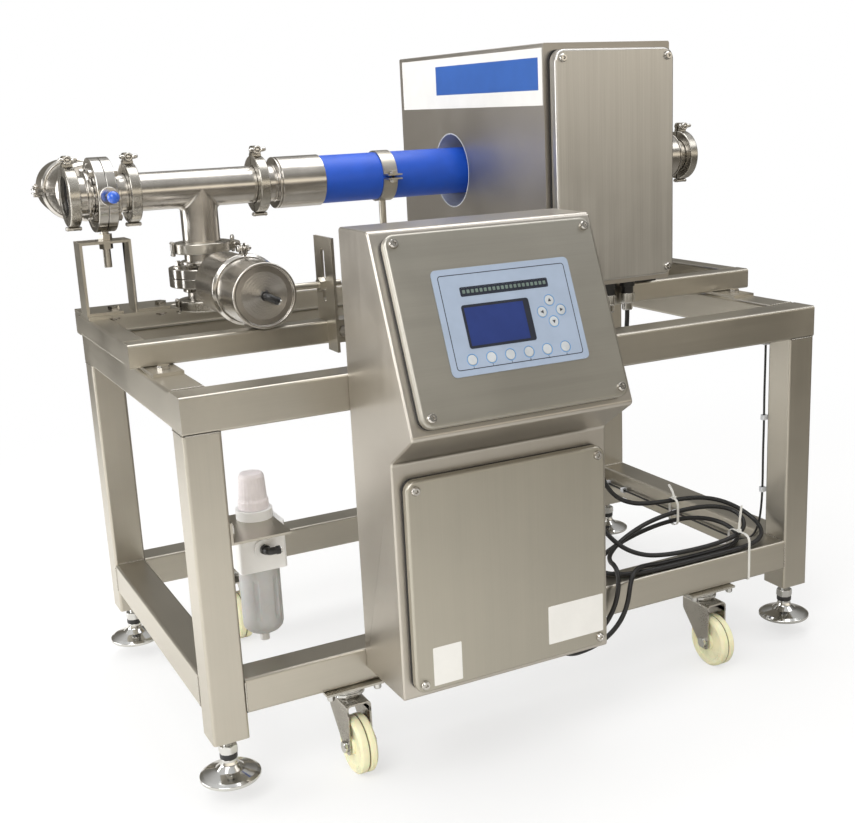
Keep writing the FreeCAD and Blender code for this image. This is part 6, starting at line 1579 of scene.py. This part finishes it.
@dataclass
class Fixings:
    """The ties round the spare loops, and the clips and end blocks of the thin cable."""

    skin: float = 1.2
    half_width: float = 2.5

    @staticmethod
    def band(piece: Piece, seat: Seat, line: Array, half: float, skin: float, slot: int = 0) -> None:
        """Close a strap on itself: the line moved along its normals by half the skin, each way up and down."""
        tangent = np.roll(line, -1, 0) - np.roll(line, 1, 0)
        normal = np.stack([tangent[:, 1], -tangent[:, 0]], 1)
        normal /= np.linalg.norm(normal, axis=1, keepdims=True)
        rows = [np.concatenate([line + normal * (out * skin / 2), np.full((len(line), 1), up * half)], 1)
                for out, up in ((-1, -1), (1, -1), (1, 1), (-1, 1))]
        piece.grid(seat.carry(np.stack(rows)), slot=slot, loop=True)

    def tie(self, piece: Piece, middle: Sequence[float], size: tuple[float, float], radii: Sequence[float],
            knots: Sequence[tuple[float, float]]) -> None:
        """Lay one tie: its loop, its head and a free end along a cubic curve through four knots.

        Args:
            piece: The piece to add to.
            middle: The loop's middle.
            size: The loop's depth and height.
            radii: The loop's corner radii: low front, low back, high back, high front.
            knots: Depth and height of the free end's four knots.
        """
        deep, high = (part / 2 - self.skin / 2 for part in size)
        corners = [(-high, -deep), (high, -deep), (high, deep), (-high, deep)]
        line = rounded_outline(corners, [radii[3], radii[0], radii[1], radii[2]], 7)
        self.band(piece, Seat.on("x", middle), line, self.half_width, self.skin)
        share = np.linspace(0.0, 1.0, 20)[:, None]
        first, second, third, fourth = (np.array(knot)[None] for knot in knots)
        rest = 1.0 - share
        path = (rest ** 3 * first + 3 * rest ** 2 * share * second + 3 * rest * share ** 2 * third
                + share ** 3 * fourth)
        ahead = np.gradient(path, axis=0)
        ahead /= np.linalg.norm(ahead, axis=1, keepdims=True)
        normal = np.stack([-ahead[:, 1], ahead[:, 0]], 1)
        section = np.array([(-1, -1), (1, -1), (1, 1), (-1, 1)]) * (self.half_width, self.skin / 2)
        points = np.empty((len(path), len(section), 3))
        points[..., 0] = middle[0] + section[None, :, 0]
        points[..., 1:] = path[:, None] + section[None, :, 1:] * normal[:, None]
        piece.grid(points, caps=True)
        head = Seat.on("z", (middle[0], knots[0][0], middle[2] + size[1] / 2))
        piece.prism(head, rectangle(8.0, 6.4, 1.2, 3), -1.4, 4.6, 0.8, foot=0.6)

    def build(self) -> None:
        """Lay both ties, the clips and the end blocks."""
        piece = Piece("ties_and_clips")
        self.tie(piece, (1088.5, 30.0, 196.8), (62.8, 92.4), (2.4, 2.4, 14.0, 14.0),
                 ((30.0, 244.0), (29.5, 262.0), (27.0, 280.0), (24.0, 298.0)))
        self.tie(piece, (1002.5, 127.1, 273.75), (27.4, 55.7), (12.5, 5.0, 5.0, 12.5),
                 ((127.0, 303.0), (129.0, 311.0), (135.0, 320.0), (144.0, 326.0)))
        for deep in (140.0, 340.0, 540.0):
            self.band(piece, Seat.on("y", (1174.0, deep + 5.0, 177.0)), rectangle(10.5, 10.5, 2.0, 4), 5.0, 1.5, 1)
        for height in (300.0, 450.0):
            seat = Seat.on("z", (1176.5, 65.0, height + 5.0))
            self.band(piece, seat, rectangle(9.5, 8.5, 2.0, 4), 5.0, 1.5, 1)
            piece.prism(seat.child((6.5, -3.9, 0.0)), rectangle(6.0, 2.0, 0.6, 3), -5.0, 5.0, 0.4, 1, foot=0.4)
        for middle in ((1179.0, 66.0, 608.0), (1174.0, 612.0, 177.0)):
            width = 18.0 if middle[2] > 300.0 else 12.0
            piece.prism(Seat.on("z", middle), rectangle(width, 12.0, 2.0, 4), -6.0, 6.0, 1.0, 1, foot=1.0)
        piece.build(["tie", "clip"], replaces=["cable_ties"], slot="grey_plastic", sharp=40.0)


class Studio:
    """The pale floor, the soft light and the camera."""

    FOCAL = 1229.1475531963968
    WIDTH, HEIGHT = 855, 823
    MIDDLE = (468.935765619862, 424.62821846336095)
    YAW, PITCH, ROLL = 0.4826930908697611, 0.25643911328278557, -0.04077374815940035
    EYE = (-441.0890629798706, -1756.999821347817, 1084.3792230864785)

    def floor(self) -> None:
        """Lay a pale floor that shows white to the camera but keeps the object's shadow; to reflections and bounced
        light it shows painted shade, near white at the left front and dark at a distance and towards +x.
        """
        mesh = bpy.data.meshes.new("studio_floor")
        reach = 30.0
        mesh.from_pydata([(-reach, -reach, 0), (reach, -reach, 0), (reach, reach, 0), (-reach, reach, 0)], [],
                         [(0, 1, 2, 3)])
        piece = bpy.data.objects.new("studio_floor", mesh)
        bpy.context.scene.collection.objects.link(piece)
        paint = Paint("studio_floor")
        glow = paint.node("ShaderNodeEmission", {}, {"Color": (1.0, 1.0, 1.0), "Strength": 1.0})
        path = paint.node("ShaderNodeLightPath")
        seen = Value(paint, path.outputs["Is Camera Ray"])
        across, deep = paint.axis("X"), paint.axis("Y")
        reach_out = (across * across + deep * deep) ** 0.5
        # Painted shade: for all but camera rays the floor's colour runs from near white at the left front to dark
        # brown-grey at a distance and towards +x, which darkens what the steel reflects.
        left, front = across + 0.4, deep + 0.6
        away = ((left * left + front * front) ** 0.5).between(1.6, 4.6)
        painted_shade_share = (across.between(-0.95, 2.6) ** 0.62).maths("MAXIMUM", away)
        shaded_floor_colour = paint.mix(painted_shade_share, (0.97, 0.955, 0.92), (0.14, 0.128, 0.106))
        paint.set(base_color=paint.mix(seen, shaded_floor_colour, (0.86, 0.86, 0.86)), roughness=0.9)
        share = seen * (reach_out.between(0.75, 2.6) * 0.36 + 0.64)
        both = paint.node("ShaderNodeMixShader", {}, {0: share, 1: paint.shader.outputs[0], 2: glow.outputs[0]})
        paint.tree.links.new(both.outputs[0], paint.output.inputs["Surface"])
        mesh.materials.append(paint.material)
        piece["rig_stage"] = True

    def world(self) -> None:
        """Set a white backdrop for the camera and a plain, softly graded surround for light and gloss."""
        world = bpy.data.worlds.new("studio")
        bpy.context.scene.world = world
        world.use_nodes = True
        tree = world.node_tree
        tree.nodes.clear()
        path = tree.nodes.new("ShaderNodeLightPath")
        place = tree.nodes.new("ShaderNodeTexCoord")
        parts = tree.nodes.new("ShaderNodeSeparateXYZ")
        ramp = tree.nodes.new("ShaderNodeValToRGB")
        stops = ((0.0, (0.78, 0.77, 0.75)), (0.44, (0.62, 0.60, 0.57)), (0.50, (0.30, 0.275, 0.235)),
                 (0.57, (0.17, 0.155, 0.128)), (0.70, (0.27, 0.26, 0.235)), (0.84, (0.66, 0.65, 0.63)),
                 (1.0, (0.84, 0.84, 0.83)))
        while len(ramp.color_ramp.elements) < len(stops):
            ramp.color_ramp.elements.new(0.5)
        for element, (position, colour) in zip(ramp.color_ramp.elements, stops):
            element.position = position
            element.color = (*colour, 1.0)
        half = tree.nodes.new("ShaderNodeMath")
        half.operation = "MULTIPLY_ADD"
        half.inputs[1].default_value = 0.5
        half.inputs[2].default_value = 0.5
        soft = tree.nodes.new("ShaderNodeBackground")
        white = tree.nodes.new("ShaderNodeBackground")
        white.inputs[0].default_value = (1.0, 1.0, 1.0, 1.0)
        mix = tree.nodes.new("ShaderNodeMixShader")
        out = tree.nodes.new("ShaderNodeOutputWorld")
        link = tree.links.new
        link(place.outputs["Generated"], parts.inputs[0])
        link(parts.outputs["Z"], half.inputs[0])
        link(half.outputs[0], ramp.inputs[0])
        link(ramp.outputs[0], soft.inputs[0])
        link(self.sides(tree, parts.outputs), soft.inputs[1])
        link(path.outputs["Is Camera Ray"], mix.inputs[0])
        link(soft.outputs[0], mix.inputs[1])
        link(white.outputs[0], mix.inputs[2])
        link(mix.outputs[0], out.inputs[0])

    @staticmethod
    def sides(tree: bpy.types.NodeTree, ways: Sequence[bpy.types.NodeSocket]) -> bpy.types.NodeSocket:
        """Return the surround's strength: 1 - 0.35 x, plus a band over the horizon towards the front.

        The band is max(-y, 0) times 1 - ((z - 0.12) / 0.15) squared, where that is over nothing.

        Args:
            tree: The world's nodes.
            ways: The parts X, Y and Z of the direction looked in.

        Returns:
            The socket that carries the strength.
        """
        def maths(operation: str, *values: bpy.types.NodeSocket | float) -> bpy.types.NodeSocket:
            """Add one Math node."""
            node = tree.nodes.new("ShaderNodeMath")
            node.operation = operation
            for socket, value in zip(node.inputs, values):
                if isinstance(value, float):
                    socket.default_value = value
                else:
                    tree.links.new(value, socket)
            return node.outputs[0]

        front = maths("MAXIMUM", maths("MULTIPLY", ways["Y"], -1.0), 0.0)
        height = maths("MULTIPLY", maths("SUBTRACT", ways["Z"], 0.12), 1.0 / 0.15)
        band = maths("MAXIMUM", maths("SUBTRACT", 1.0, maths("MULTIPLY", height, height)), 0.0)
        side = maths("MULTIPLY_ADD", ways["X"], -0.35, 1.0)
        return maths("MULTIPLY_ADD", maths("MULTIPLY", front, band), 9.0, side)

    def lamp(self, name: str, at: Sequence[float], aim: Sequence[float], size: tuple[float, float],
             watts: float) -> None:
        """Hang one soft box."""
        light = bpy.data.lights.new(name, "AREA")
        light.shape = "RECTANGLE"
        light.size, light.size_y = size
        light.energy = watts
        lamp = bpy.data.objects.new(name, light)
        lamp.location = Vector(at)
        lamp.rotation_mode = "QUATERNION"
        lamp.rotation_quaternion = (Vector(aim) - Vector(at)).to_track_quat("-Z", "Y")
        bpy.context.scene.collection.objects.link(lamp)

    def camera(self) -> None:
        """Stand the camera where the photograph was taken from."""
        forward = Vector((math.sin(self.YAW) * math.cos(self.PITCH), math.cos(self.YAW) * math.cos(self.PITCH),
                          -math.sin(self.PITCH)))
        level = Vector((math.cos(self.YAW), -math.sin(self.YAW), 0.0))
        upright = level.cross(forward)
        right = level * math.cos(self.ROLL) + upright * math.sin(self.ROLL)
        up = upright * math.cos(self.ROLL) - level * math.sin(self.ROLL)
        data = bpy.data.cameras.new("camera")
        data.sensor_width = 36.0
        data.lens = self.FOCAL / self.WIDTH * 36.0
        data.shift_x = (self.WIDTH / 2 - self.MIDDLE[0]) / self.WIDTH
        data.shift_y = (self.MIDDLE[1] - self.HEIGHT / 2) / self.WIDTH
        data.clip_end = 100.0
        camera = bpy.data.objects.new("camera", data)
        place = Matrix((right, up, -forward)).transposed().to_4x4()
        place.translation = Vector(row(self.EYE))
        camera.matrix_world = place
        bpy.context.scene.collection.objects.link(camera)
        bpy.context.scene.camera = camera

    def build(self) -> None:
        """Build the whole studio."""
        self.floor()
        self.world()
        self.lamp("key_box", (-2.6, -2.2, 3.2), (0.0, 0.0, 0.5), (2.4, 2.4), 95.0)
        self.lamp("fill_box", (2.6, -1.6, 3.4), (0.2, 0.0, 0.5), (1.6, 1.6), 20.0)
        self.lamp("top_box", (0.3, 0.6, 3.6), (0.0, 0.0, 0.5), (3.2, 2.2), 62.0)
        self.lamp("side_box", (-3.3, 1.2, 1.1), (-0.4, 0.1, 0.4), (2.4, 1.8), 60.0)
        self.camera()
        bpy.context.scene.view_settings.view_transform = "Standard"


def corners(box: Iterable[Iterable[float]]) -> list[list[float]]:
    """Return a box's two corners as plain lists."""
    return [[float(part) for part in corner] for corner in box]


def main() -> None:
    """Load the frame, build every sub-assembly and report each."""
    logging.basicConfig(level=logging.INFO, format="%(name)s: %(message)s")
    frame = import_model()
    cad = corners(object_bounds())
    for assembly in (BaseFrame(), Casters(), ProductLine(), DetectingHead(), Cabinet(), OperatingPanel(),
                     AirFilter(), Cables()):
        assembly.build(frame)
        LOG.info("built %s", type(assembly).__name__)
    Fixings().build()
    Studio().build()
    {"cad": cad, "visual": corners(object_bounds())}


if __name__ == "__main__":
    main()
